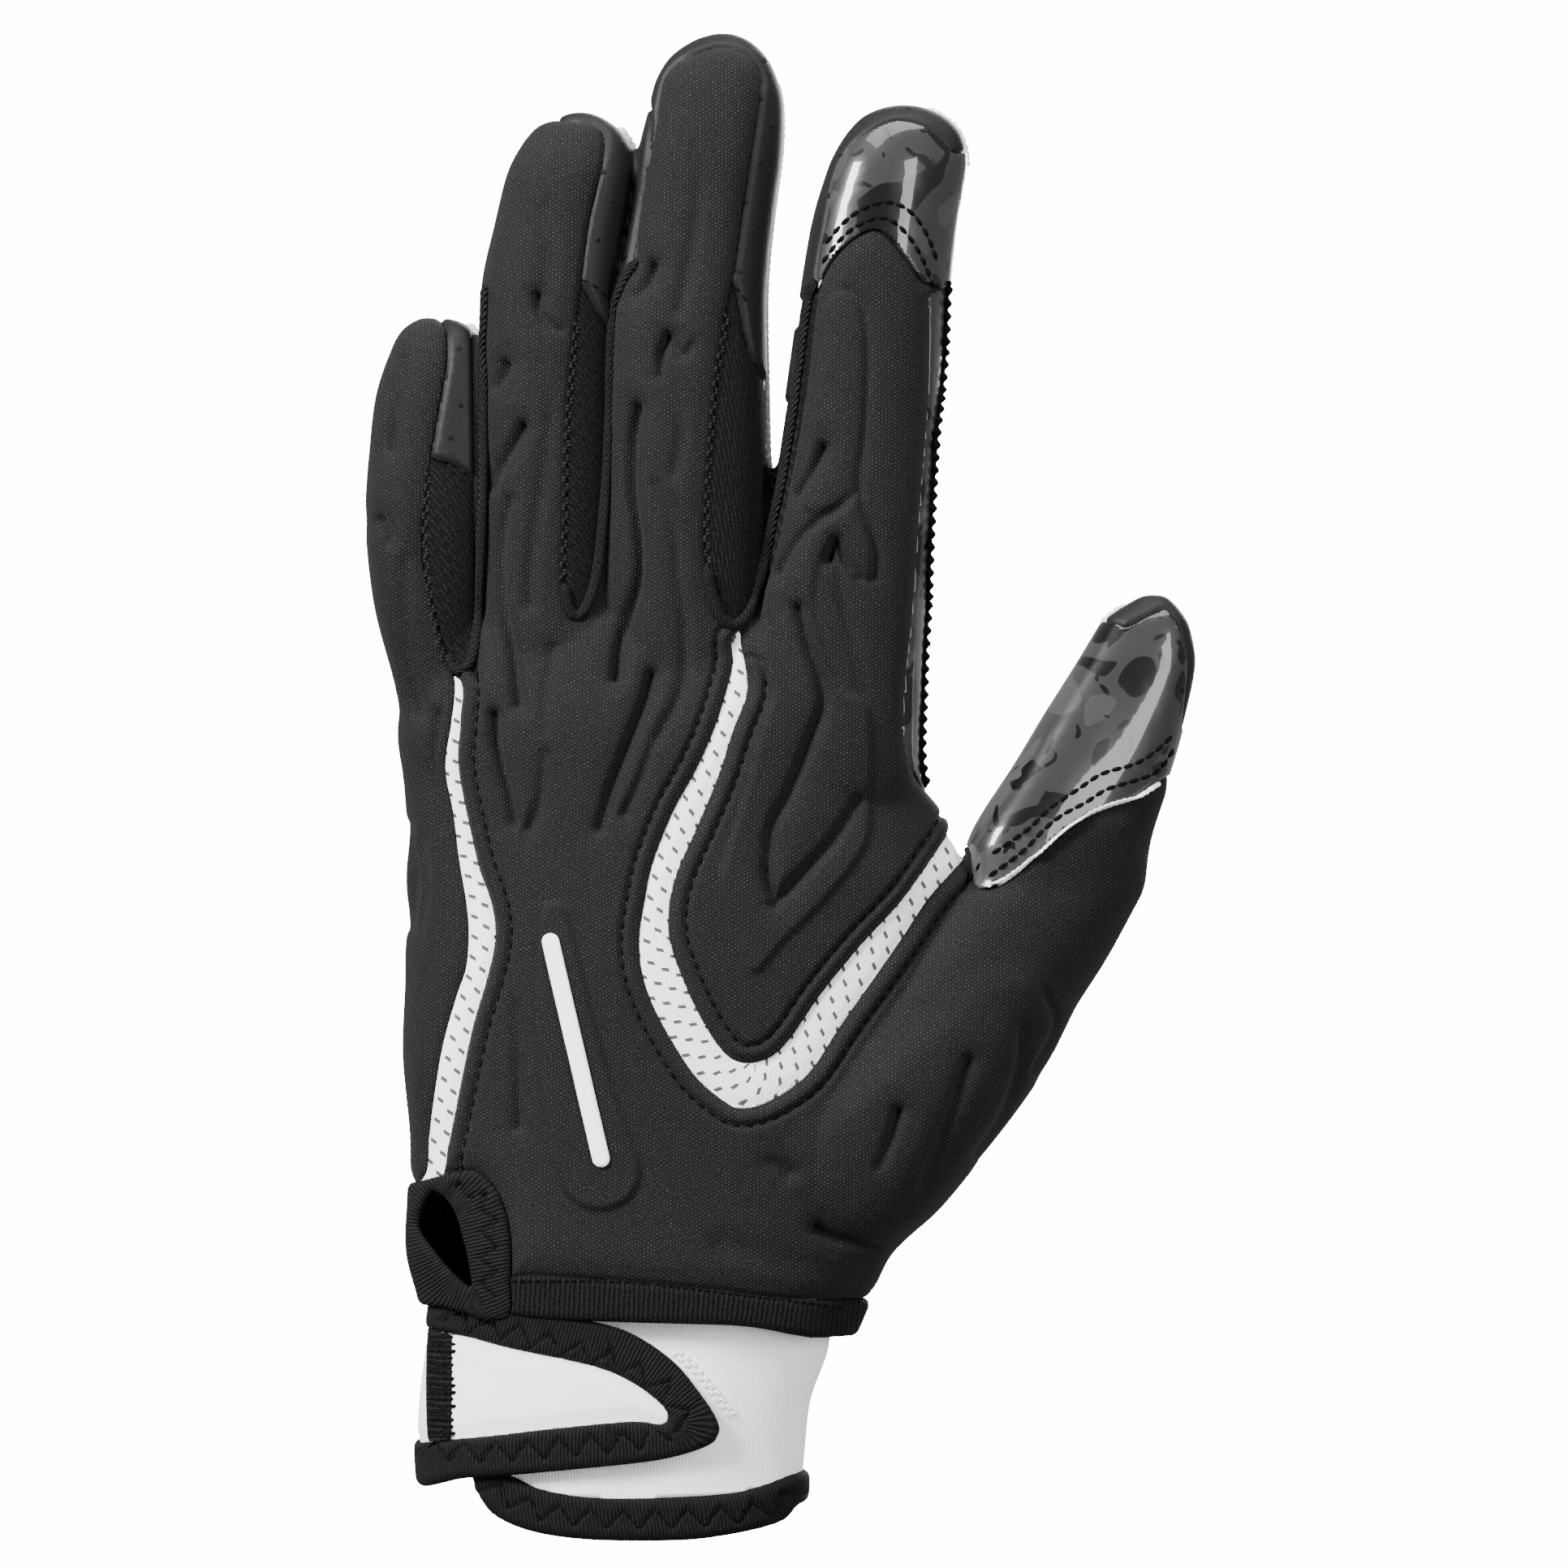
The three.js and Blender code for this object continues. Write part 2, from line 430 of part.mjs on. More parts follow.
// Moves each side of a flat outline outwards by one distance
function growOutline(points, distance) {
  const area = THREE.ShapeUtils.area(points);
  const side = Math.sign(area) * distance;
  return points.map((point, i) => {
    const before = points[(i + points.length - 1) % points.length];
    const after = points[(i + 1) % points.length];
    const first = new THREE.Vector2().subVectors(point, before).normalize();
    const second = new THREE.Vector2().subVectors(after, point).normalize();
    const bisector = new THREE.Vector2(first.y + second.y, -first.x - second.x).normalize();
    const reach = side / Math.max(0.5, bisector.x * first.y - bisector.y * first.x);
    return new THREE.Vector2(point.x + bisector.x * reach, point.y + bisector.y * reach);
  });
}

// Block over an outline seen from the back of the hand, from one depth to another
function block(points, grow = 0, from = -2 * hand_depth, to = 2 * hand_depth) {
  const grown = grow === 0 ? points : growOutline(points, grow);
  const shape = new THREE.Shape(grown);
  const geometry = new THREE.ExtrudeGeometry(shape, { depth: to - from, bevelEnabled: false });
  geometry.rotateX(Math.PI / 2);
  geometry.translate(0, to, 0);
  return toSolid(geometry);
}

function outline(name) {
  return outlines[name].map(([x, z]) => new THREE.Vector2(across(x), upward(z)));
}

// Block of everything on the palm's side of the seam round the hand
function palmSide(shift) {
  const columns = seam_columns + 1;
  const positions = [];
  const faces = [];
  const far = 3 * hand_depth;
  for (const back of [false, true]) {
    for (let r = 0; r <= seam_rows; r += 1) {
      for (let c = 0; c <= seam_columns; c += 1) {
        const x = across(-60 + (185 * c) / seam_columns);
        const z = upward(8 + (96 * r) / seam_rows);
        positions.push(x, back ? far : middle(x, z) + palm_seam_offset + shift, z);
      }
    }
  }
  const layer = columns * (seam_rows + 1);
  for (let r = 0; r < seam_rows; r += 1) {
    for (let c = 0; c < seam_columns; c += 1) {
      const a = r * columns + c;
      const b = a + 1;
      const d = a + columns;
      const e = d + 1;
      faces.push(a, b, e, a, e, d);
      faces.push(layer + a, layer + e, layer + b, layer + a, layer + d, layer + e);
    }
  }
  const rim = [];
  for (let c = 0; c < seam_columns; c += 1) rim.push(c);
  for (let r = 0; r < seam_rows; r += 1) rim.push(r * columns + seam_columns);
  for (let c = seam_columns; c > 0; c -= 1) rim.push(seam_rows * columns + c);
  for (let r = seam_rows; r > 0; r -= 1) rim.push(r * columns);
  rim.forEach((a, i) => {
    const b = rim[(i + 1) % rim.length];
    faces.push(b, a, layer + a, b, layer + a, layer + b);
  });
  const geometry = new THREE.BufferGeometry();
  geometry.setAttribute("position", new THREE.Float32BufferAttribute(positions, 3));
  geometry.setIndex(faces);
  return toSolid(geometry);
}

// The shell of the hand, open at the wrist, and the fatter shell that the bindings are cut from
const hand_outer = handSolid(0);
const hand_inner = handHollow();
const bound_outer = handSolid(binding_rise);
const groove_floor = handSolid(-groove_depth);
const half_groove_floor = handSolid(-groove_depth / 2);
const shell = hand_outer.subtract(hand_inner);
const bound_shell = bound_outer.subtract(hand_inner);

// The palm's side of the seam, with the grip that folds over the thumb side of the index finger
const palm_block = palmSide(seam_gap / 2).add(block(outline("grip_fold"), -seam_gap / 2));
const palm_block_grown = palmSide(-seam_gap / 2).add(block(outline("grip_fold"), seam_gap / 2));

// The strap clears the way for itself through what it crosses
const cuff_clear = cuffSolid(seam_gap);
function strapBlock(front_name, root_name, grow) {
  return block(outline(front_name), grow, -2 * hand_depth, 0.5)
    .add(block(outline(root_name), grow, 0.2, 2 * hand_depth));
}
const strap_room = strapBlock("strap", "strap_root", seam_gap);

const pieces = {};
let remaining = shell.subtract(palm_block_grown).subtract(strap_room);

function largest(solid) {
  const parts = solid.decompose();
  return parts.reduce((best, part) => (part.volume() > best.volume() ? part : best));
}

// Cuts one piece out of what is left of the back, and leaves the seam gap round it
function carve(name, from = remaining, shape = (grow) => block(outline(name), grow)) {
  pieces[name] = largest(from.intersect(shape(0)));
  remaining = remaining.subtract(shape(seam_gap));
}

// The index cap ends on the back at its inner side, and folds on round the thumb side
function capShape(grow) {
  return block(outline("index_cap"), grow, -2 * hand_depth, across(5) + grow)
    .add(block(outline("index_cap_fold"), grow));
}

const vent_hole = block(outline("vent_hole"), 0, -2 * hand_depth, across(1));
const bound_back = bound_shell.subtract(palm_block_grown).subtract(strap_room);
remaining = remaining.subtract(vent_hole);
carve("vent_binding", bound_back.subtract(vent_hole));
carve("back_hem", bound_back.subtract(block(outline("vent_binding"), seam_gap)));
carve("index_panel");
carve("index_cap", remaining, capShape);
carve("v_insert");
carve("little_panel");
carve("side_insert");
carve("thumb_cap");
carve("back_panel");
for (const name of ["little", "ring", "middle", "index", "thumb"]) carve(`${name}_fourchette`);
for (const name of ["little_ring", "ring_middle", "middle_index"]) carve(`${name}_gusset`);

// Presses the padding's valleys into the panels
function grooveOutline(groove) {
  const start = new THREE.Vector2(across(groove.x1), upward(groove.z1));
  const centre = new THREE.Vector2(across(groove.x2), upward(groove.z2));
  const end = new THREE.Vector2(across(groove.x3), upward(groove.z3));
  const along = new THREE.Vector2().subVectors(end, start).normalize();
  const aside = new THREE.Vector2(-along.y, along.x).multiplyScalar(across(groove.wide) / 2);
  return [
    start,
    centre.clone().sub(aside),
    end,
    centre.clone().add(aside),
  ];
}

for (const panel of ["back", "index", "little"]) {
  const name = `${panel}_panel`;
  for (const deep of [false, true]) {
    const strokes = grooves.filter((groove) => groove.panel === panel && groove.deep >= 0.75 === deep);
    if (strokes.length === 0) continue;
    const blocks = strokes.map((groove) => block(grooveOutline(groove)));
    const cutter = blocks.reduce((sum, part) => sum.add(part)).subtract(deep ? groove_floor : half_groove_floor);
    pieces[name] = largest(pieces[name].subtract(cutter));
  }
}

// The pad stands up under the emblem, which lies just clear of it
const pad_block = block(outline("emblem_pad"), 0, -2 * hand_depth, 0);
const pad = bound_outer.subtract(half_groove_floor).intersect(pad_block);
pieces.back_panel = largest(pieces.back_panel.add(pad));
pieces.emblem = handSolid(binding_rise + seam_gap + emblem_thickness)
  .subtract(handSolid(binding_rise + seam_gap))
  .intersect(block(outline("emblem"), 0, -2 * hand_depth, 0));

pieces.palm_panel = largest(shell.intersect(palm_block).subtract(strap_room));

// Cuff, its binding and the strap
const cuff_hollow = cuffSolid(-cuff_wall);
const cuff_skin = cuffSolid(0).subtract(cuff_hollow);
pieces.cuff_band = largest(cuff_skin.intersect(block(outline("cuff_band"))));
pieces.cuff_binding = largest(
  cuffSolid(binding_rise).subtract(cuff_hollow).intersect(block(outline("cuff_binding"), -seam_gap / 2))
    .subtract(strap_room.subtract(cuffSolid(0))),
);
const strap_skin = cuffSolid(strap_thickness).subtract(cuff_clear);
const strap_bound_skin = cuffSolid(strap_thickness + strap_binding_rise).subtract(cuff_clear);
pieces.strap_tab = largest(strap_skin.intersect(strapBlock("strap_field", "strap_root_field", -seam_gap)));
pieces.strap_binding = largest(
  strap_bound_skin.intersect(strapBlock("strap", "strap_root", 0))
    .subtract(strapBlock("strap_field", "strap_root_field", 0)),
);
pieces.strap_stitched_band = cuffSolid(strap_thickness + seam_gap + stitched_band_thickness)
  .subtract(cuffSolid(strap_thickness + seam_gap))
  .intersect(block(outline("stitched_band"), 0, -2 * hand_depth, 0));

// Materials of the photographed glove
const black_knit = { color: 0x232325, roughness: 0.85, metalness: 0 };
const black_smooth = { color: 0x2b2b2d, roughness: 0.6, metalness: 0 };
const black_ribbed = { color: 0x19191a, roughness: 0.9, metalness: 0 };
const white_mesh = { color: 0xf2f2f2, roughness: 0.8, metalness: 0 };
const glossy_grip = { color: 0x4a4a4c, roughness: 0.15, metalness: 0 };
const looks = {
  back_panel: black_knit,
  index_panel: black_knit,
  little_panel: black_knit,
  v_insert: white_mesh,
  side_insert: white_mesh,
  emblem: white_mesh,
  palm_panel: glossy_grip,
  index_cap: glossy_grip,
  thumb_cap: glossy_grip,
  little_fourchette: black_smooth,
  ring_fourchette: black_smooth,
  middle_fourchette: black_smooth,
  index_fourchette: black_smooth,
  thumb_fourchette: black_smooth,
  little_ring_gusset: black_ribbed,
  ring_middle_gusset: black_ribbed,
  middle_index_gusset: black_ribbed,
  vent_binding: black_ribbed,
  back_hem: black_ribbed,
  cuff_band: white_mesh,
  cuff_binding: black_ribbed,
  strap_tab: white_mesh,
  strap_binding: black_ribbed,
  strap_stitched_band: black_ribbed,
};

const group = new THREE.Group();
for (const [name, look] of Object.entries(looks)) {
  const result = pieces[name].getMesh();
  const geometry = new THREE.BufferGeometry();
  geometry.setAttribute("position", new THREE.Float32BufferAttribute(result.vertProperties, 3));
  geometry.setIndex([...result.triVerts]);
  geometry.computeVertexNormals();
  const mesh = new THREE.Mesh(geometry, new THREE.MeshStandardMaterial(look));
  mesh.name = name;
  group.add(mesh);
}

export default group;
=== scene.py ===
# %% [markdown]
# # A football receiver glove, dressed over its frame
# The CAD frame gives the size, the seams and the hollow of the glove. This lesson builds the sewn surface
# over it: one smooth skin for the whole hand is cut along the seams into panels, and each panel then gets
# its padding, its edge, its stitches and its cloth.

# %% Load the frame
import math
import bmesh
import bpy
import numpy as np
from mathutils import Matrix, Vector
from mathutils.bvhtree import BVHTree
from mathutils.kdtree import KDTree


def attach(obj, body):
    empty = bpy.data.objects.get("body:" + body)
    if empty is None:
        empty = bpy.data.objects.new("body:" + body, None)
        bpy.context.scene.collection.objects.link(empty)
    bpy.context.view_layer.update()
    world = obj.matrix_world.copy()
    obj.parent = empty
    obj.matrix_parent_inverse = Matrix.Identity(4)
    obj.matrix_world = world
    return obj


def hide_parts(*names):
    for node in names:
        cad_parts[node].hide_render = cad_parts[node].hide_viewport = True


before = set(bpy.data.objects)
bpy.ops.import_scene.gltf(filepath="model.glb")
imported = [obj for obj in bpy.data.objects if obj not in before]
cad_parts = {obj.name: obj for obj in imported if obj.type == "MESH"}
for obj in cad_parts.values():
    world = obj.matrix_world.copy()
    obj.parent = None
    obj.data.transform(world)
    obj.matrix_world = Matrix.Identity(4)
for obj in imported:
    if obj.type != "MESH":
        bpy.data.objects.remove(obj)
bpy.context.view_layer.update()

# %% [markdown]
# ## Camera and studio
# The photograph looks straight at the back of the hand from far away, so the lens is long. Bright paper gives
# the even white ground of a catalogue picture. It is kept out of the diffuse and glossy light, because light
# from all sides would flatten a black cloth. One lamp from the upper left models the padding instead.

# %% Camera, floor and lamps
def add_camera(place, lens):
    data = bpy.data.cameras.new("camera")
    data.lens = lens
    data.sensor_width = 36
    data.clip_end = 50
    camera = bpy.data.objects.new("camera", data)
    camera.location = place
    camera.rotation_euler = (math.pi / 2, 0, 0)
    bpy.context.scene.collection.objects.link(camera)
    bpy.context.scene.camera = camera
    return camera


def add_lamp(name, place, target, size, power):
    data = bpy.data.lights.new(name, "AREA")
    data.shape = "RECTANGLE"
    data.size, data.size_y = size
    data.energy = power
    lamp = bpy.data.objects.new(name, data)
    lamp.location = place
    lamp.rotation_euler = (Vector(target) - Vector(place)).to_track_quat("-Z", "Y").to_euler()
    bpy.context.scene.collection.objects.link(lamp)
    return lamp


def plain_material(name, colour, roughness=0.9, glow=0.0):
    material = bpy.data.materials.new(name)
    material.use_nodes = True
    shader = material.node_tree.nodes["Principled BSDF"]
    shader.inputs["Base Color"].default_value = (*colour, 1)
    shader.inputs["Roughness"].default_value = roughness
    shader.inputs["Emission Color"].default_value = (*colour, 1)
    shader.inputs["Emission Strength"].default_value = glow
    return material


def add_ground(name, radius, floor, top):
    """A round floor that curves up into a wall on every side, so that no view shows a horizon."""
    bend, facets = 0.5, 64
    profile = []
    for step in range(13):
        turn = math.pi / 2 * step / 12
        profile.append((radius - bend + bend * math.sin(turn), floor + bend - bend * math.cos(turn)))
    profile.append((radius, top))
    points = [(0, 0, floor)]
    for reach, z in profile:
        for i in range(facets):
            turn = math.tau * i / facets
            points.append((reach * math.cos(turn), reach * math.sin(turn), z))
    faces = [(0, 1 + i, 1 + (i + 1) % facets) for i in range(facets)]
    for ring in range(len(profile) - 1):
        a, b = 1 + ring * facets, 1 + (ring + 1) * facets
        for i in range(facets):
            j = (i + 1) % facets
            faces.append((a + i, b + i, b + j, a + j))
    mesh = bpy.data.meshes.new(name)
    mesh.from_pydata(points, [], faces)
    ground = bpy.data.objects.new(name, mesh)
    bpy.context.scene.collection.objects.link(ground)
    ground.data.materials.append(plain_material("paper", (0.9, 0.9, 0.9), 0.9, 16.0))
    ground.visible_diffuse = False
    ground.visible_glossy = False
    return ground


camera = add_camera((0.0266, -2.0, 0.1225), 281.7)
add_ground("ground", 5.0, -0.3, 4.0)
world = bpy.data.worlds.new("studio")
world.use_nodes = True
world.node_tree.nodes["Background"].inputs["Color"].default_value = (1, 1, 1, 1)
world.node_tree.nodes["Background"].inputs["Strength"].default_value = 0.45
bpy.context.scene.world = world
add_lamp("key", (-0.95, -0.85, 0.95), (0.02, 0, 0.12), (0.45, 0.6), 100)
add_lamp("fill", (0.95, -0.9, 0.35), (0.02, 0, 0.12), (0.35, 1.1), 20)
add_lamp("rim", (0.1, -0.1, 1.0), (0.02, 0, 0.15), (0.9, 0.5), 14)
add_lamp("behind", (0.3, 1.3, 0.5), (0.02, 0, 0.12), (0.6, 0.6), 18)

# %% [markdown]
# ## Sizes and tables
# The same few sizes as in the CAD part, now in metres, and nearly the same tables: here the fingers grow out
# of the hand a little lower, and the wrist is slimmer on the little finger's side. Each row is a level cut
# through the hand or one finger, in percentages of the glove's height, the hand's breadth and its depth.

# %% Driving sizes and level sections
glove_height = 0.245
hand_breadth = 0.083
hand_depth = 0.038
finger_bend = 0.008
thumb_reach = 0.013
knuckle_arch = 0.003
palm_seam_offset = 0.0024
squareness = 2.4

# up, left, right, back, palm
hand_rows = [
    (13.1, -37.3, 44.8, -52, 52), (15.8, -38.6, 46.4, -52, 52), (19.0, -41.0, 51.0, -51, 54),
    (22.8, -40.7, 54.5, -49, 56), (26.6, -40.6, 58.2, -48, 57), (32.0, -42.1, 63.0, -47, 56),
    (37.4, -41.6, 66.9, -46, 53), (43.3, -41.8, 69.0, -43, 48), (46.0, -41.6, 65.5, -41, 46),
    (49.8, -41.8, 59.8, -39, 43), (53.6, -43.2, 58.5, -37, 40), (56.5, -41.5, 57.0, -33, 36),
    (59.5, -38.5, 54.5, -26, 28), (61.5, -31.0, 48.0, -15, 16),
]
# up, left, right
digit_rows = {
    "little": (0.98, [
        (44.0, -38.5, -30.5), (47.5, -40.3, -29.0), (50.3, -41.0, -27.9), (55.7, -42.7, -28.2), (61.1, -46.7, -27.3), (64.4, -48.2, -26.6),
        (67.6, -48.9, -26.1), (70.8, -48.5, -26.1), (74.1, -47.7, -26.3), (76.2, -46.7, -26.5),
        (78.4, -44.6, -27.0), (79.8, -42.6, -28.6), (80.5, -40.3, -30.8), (80.9, -37.5, -33.3)]),
    "ring": (0.98, [
        (44.0, -21.0, -9.0), (47.5, -24.5, -5.0), (50.3, -26.3, -3.2), (59.0, -26.3, -2.6), (69.8, -26.3, -1.6), (80.6, -26.3, -1.4),
        (83.8, -25.8, -1.1), (87.0, -23.7, 0.2), (90.3, -21.4, 1.8), (91.9, -19.3, 1.6),
        (93.3, -16.4, -0.2), (94.2, -12.9, -3.3), (94.7, -9.7, -6.5)]),
    "middle": (0.92, [
        (44.0, 3.0, 20.0), (47.5, -0.5, 23.5), (50.3, -2.4, 25.5), (59.0, -2.6, 27.4), (69.8, -2.6, 28.4), (80.6, -2.1, 27.9),
        (84.3, 0.2, 28.2), (88.7, 2.7, 29.6), (91.9, 3.8, 30.9), (95.1, 6.1, 31.2),
        (96.8, 7.3, 30.3), (98.4, 10.0, 28.2), (99.5, 14.3, 25.0), (100.0, 18.3, 21.8)]),
    "index": (0.88, [
        (44.0, 33.0, 50.0), (47.5, 28.0, 55.5), (50.3, 24.7, 57.9), (59.0, 26.3, 59.0), (64.4, 28.1, 60.2), (67.6, 29.3, 60.9),
        (74.1, 32.2, 61.8), (80.6, 34.9, 63.4), (87.0, 37.9, 65.2), (90.3, 40.6, 66.8),
        (91.9, 42.4, 67.3), (93.5, 45.3, 66.1), (94.6, 48.6, 63.0), (95.2, 53.1, 58.8)]),
    "thumb": (0.86, [
        (13.6, 18.3, 44.8), (19.0, 19.1, 52.1), (22.2, 20.7, 61.7), (25.5, 24.7, 69.7),
        (28.7, 30.3, 76.8), (32.0, 38.3, 83.2), (35.2, 47.0, 88.3), (38.4, 55.0, 94.4),
        (41.7, 63.8, 99.8), (43.3, 68.1, 102.0), (46.5, 69.5, 103.4), (51.4, 78.6, 108.2),
        (54.6, 84.3, 110.8), (57.9, 90.5, 112.8), (59.8, 93.9, 112.2), (61.1, 96.6, 110.9),
        (62.5, 103.1, 107.3)]),
}
cuff_rows = [
    (-1.0, -35.1, 35.4, -50, 50), (5.0, -36.8, 35.9, -49, 49), (8.5, -36.8, 36.8, -48, 48),
    (12.5, -35.4, 40.5, -45, 45), (16.6, -33.6, 41.3, -44, 44),
]


def across(share):
    return np.asarray(share) / 100 * hand_breadth


def upward(share):
    return np.asarray(share) / 100 * glove_height


def ease(low, high, value):
    t = np.clip((value - low) / (high - low), 0, 1)
    return t * t * (3 - 2 * t)


def middle(x, z):
    """Depth of the hand's middle plane, where the fingers bend and the thumb reaches to the palm's side."""
    rise = np.maximum(0, z - upward(55)) / upward(45)
    bend = finger_bend * rise ** 2 * (1 - ease(across(62), across(75), x))
    off_centre = (x - across(10)) / across(50)
    arch = knuckle_arch * np.minimum(1, off_centre ** 2) * ease(upward(20), upward(45), z)
    return bend + arch + thumb_reach * ease(across(50), across(108), x)


# %% [markdown]
# ## One skin for the whole hand
# A hand is a palm with five tubes grown out of it. Each tube is lofted through its level sections on a
# smooth curve. A voxel remesh then joins the tubes into one even mesh, as a knitted glove is one tube of
# cloth, and a little smoothing rounds the joins at the knuckles and between the fingers.

# %% Loft and join
def smooth_through(values, steps):
    """Catmull-Rom curve through rows of values, sampled steps times between each two rows."""
    padded_rows = np.vstack([2 * values[0] - values[1], values, 2 * values[-1] - values[-2]])
    out = []
    for i in range(1, len(padded_rows) - 2):
        a, b, c, d = padded_rows[i - 1:i + 3]
        for t in np.arange(steps) / steps:
            out.append(0.5 * (2 * b + (c - a) * t + (2 * a - 5 * b + 4 * c - d) * t ** 2
                              + (3 * b - a - 3 * c + d) * t ** 3))
    out.append(values[-1])
    return np.array(out)


def section_ring(turns, half_width, half_depth):
    c, s = np.cos(turns), np.sin(turns)
    power = 2 / squareness
    return np.sign(c) * np.abs(c) ** power * half_width, np.sign(s) * np.abs(s) ** power * half_depth


def level_sections(rows, grow=0.0):
    """Centre x, centre y, z, half width and half depth of each row, in metres."""
    table = np.array([row if len(row) == 5 else (*row, 0, 0) for row in rows], float)
    left, right = across(table[:, 1]), across(table[:, 2])
    back, palm = table[:, 3] / 100 * hand_depth, table[:, 4] / 100 * hand_depth
    return np.column_stack([(left + right) / 2, (back + palm) / 2, upward(table[:, 0]),
                            (right - left) / 2 + grow, (palm - back) / 2 + grow])


def loft(name, sections, facets, closed_tip):
    """Closed tube through level sections. A tip closes to a point through one more, vanishing section."""
    if closed_tip:
        last = sections[-1].copy()
        last[2] += 0.12 * last[3]
        last[3:] *= 0.05
        sections = np.vstack([sections, last])
    sections = smooth_through(sections, 6)
    turns = np.arange(facets) / facets * 2 * math.pi
    points = []
    for cx, cy, z, half_width, half_depth in sections:
        x, y = section_ring(turns, max(half_width, 1e-5), max(half_depth, 1e-5))
        x = x + cx
        points += list(zip(x, y + cy + middle(x, z), np.full(facets, z)))
    faces = [tuple(range(facets))[::-1], tuple(range(len(points) - facets, len(points)))]
    for r in range(len(sections) - 1):
        for i in range(facets):
            j = (i + 1) % facets
            faces.append((r * facets + i, r * facets + j, (r + 1) * facets + j, (r + 1) * facets + i))
    mesh = bpy.data.meshes.new(name)
    mesh.from_pydata([tuple(p) for p in points], [], faces)
    made = bpy.data.objects.new(name, mesh)
    bpy.context.scene.collection.objects.link(made)
    return made


smoothing_loss = 0.0004


def digit_sections(fullness, rows):
    sections = level_sections(rows, smoothing_loss)
    sections[:, 4] = sections[:, 3] * fullness * (hand_depth / hand_breadth / 0.458)
    return sections


def only(obj):
    bpy.ops.object.select_all(action="DESELECT")
    obj.select_set(True)
    bpy.context.view_layer.objects.active = obj


tubes = [loft("hand_tube", level_sections(hand_rows), 96, False)]
for digit, (fullness, rows) in digit_rows.items():
    tubes.append(loft(digit + "_tube", digit_sections(fullness, rows), 56, True))
only(tubes[0])
for tube in tubes:
    tube.select_set(True)
bpy.ops.object.join()
skin = bpy.context.active_object
remesh = skin.modifiers.new("remesh", "REMESH")
remesh.mode = "VOXEL"
remesh.voxel_size = 0.00062
bpy.ops.object.modifier_apply(modifier=remesh.name)
smooth = skin.modifiers.new("smooth", "SMOOTH")
smooth.factor = 0.5
smooth.iterations = 14
bpy.ops.object.modifier_apply(modifier=smooth.name)
triangulate = skin.modifiers.new("triangulate", "TRIANGULATE")
bpy.ops.object.modifier_apply(modifier=triangulate.name)
print("skin", len(skin.data.vertices), "points", len(skin.data.polygons), "triangles")

# %% [markdown]
# ## Cutting a panel
# A pattern cutter lays a paper outline on the cloth. Here an outline is a smooth closed curve seen from the
# back of the hand, and each point of the skin knows how far it lies from that curve. Triangles that the
# curve crosses are split exactly on it, so every panel gets a clean edge.

# %% Cutting tools
def read_mesh(mesh):
    points = np.empty(len(mesh.vertices) * 3)
    mesh.vertices.foreach_get("co", points)
    normals = np.empty(len(mesh.vertices) * 3)
    mesh.vertices.foreach_get("normal", normals)
    faces = np.empty(len(mesh.polygons) * 3, int)
    mesh.polygons.foreach_get("vertices", faces)
    columns = [points.reshape(-1, 3), normals.reshape(-1, 3), np.zeros((len(mesh.vertices), 1))]
    return np.hstack(columns), faces.reshape(-1, 3)


def closed_curve(outline, steps=6):
    """Smooth closed curve through an outline's points, in metres across and up."""
    points = np.column_stack([across([p[0] for p in outline]), upward([p[1] for p in outline])])
    count = len(points)
    wrapped = np.vstack([points[-1], points, points[:2]])
    curve = []
    for i in range(1, count + 1):
        a, b, c, d = wrapped[i - 1:i + 3]
        slack = min(1.0, 0.012 / max(np.linalg.norm(c - b), 1e-6))
        for t in np.arange(steps) / steps:
            bent = 0.5 * (2 * b + (c - a) * t + (2 * a - 5 * b + 4 * c - d) * t ** 2
                          + (3 * b - a - 3 * c + d) * t ** 3)
            straight = b + (c - b) * t
            curve.append(straight + (bent - straight) * slack)
    return np.array(curve)


def nearest_on(points, curve, closed=True):
    """Distance of each flat point to a curve, and the length along the curve of the nearest place."""
    ends = np.roll(curve, -1, axis=0) if closed else curve[1:]
    starts = curve if closed else curve[:-1]
    steps = ends - starts
    lengths = np.linalg.norm(steps, axis=1)
    along = np.concatenate([[0], np.cumsum(lengths)[:-1]])
    best = np.full(len(points), 1e9)
    place = np.zeros(len(points))
    for start, step, length, before in zip(starts, steps, lengths, along):
        if length < 1e-9:
            continue
        t = np.clip((points - start) @ step / length ** 2, 0, 1)
        distance = np.hypot(points[:, 0] - start[0] - t * step[0], points[:, 1] - start[1] - t * step[1])
        closer = distance < best
        best[closer] = distance[closer]
        place[closer] = before + t[closer] * length
    return best, place


def inside(points, curve):
    """True for each flat point inside a closed curve."""
    result = np.zeros(len(points), bool)
    for (ax, az), (bx, bz) in zip(curve, np.roll(curve, -1, axis=0)):
        if az == bz:
            continue
        crosses = (az > points[:, 1]) != (bz > points[:, 1])
        where = (bx - ax) * (points[:, 1] - az) / (bz - az) + ax
        result ^= crosses & (points[:, 0] < where)
    return result


def signed_distance(points, curve):
    """Distance to a closed curve, negative inside. Far points just get a large value."""
    low, high = curve.min(0) - 0.003, curve.max(0) + 0.003
    near = np.all((points > low) & (points < high), axis=1)
    value = np.full(len(points), 0.01)
    close = points[near]
    distance, _ = nearest_on(close, curve)
    value[near] = np.where(inside(close, curve), -distance, distance)
    return value


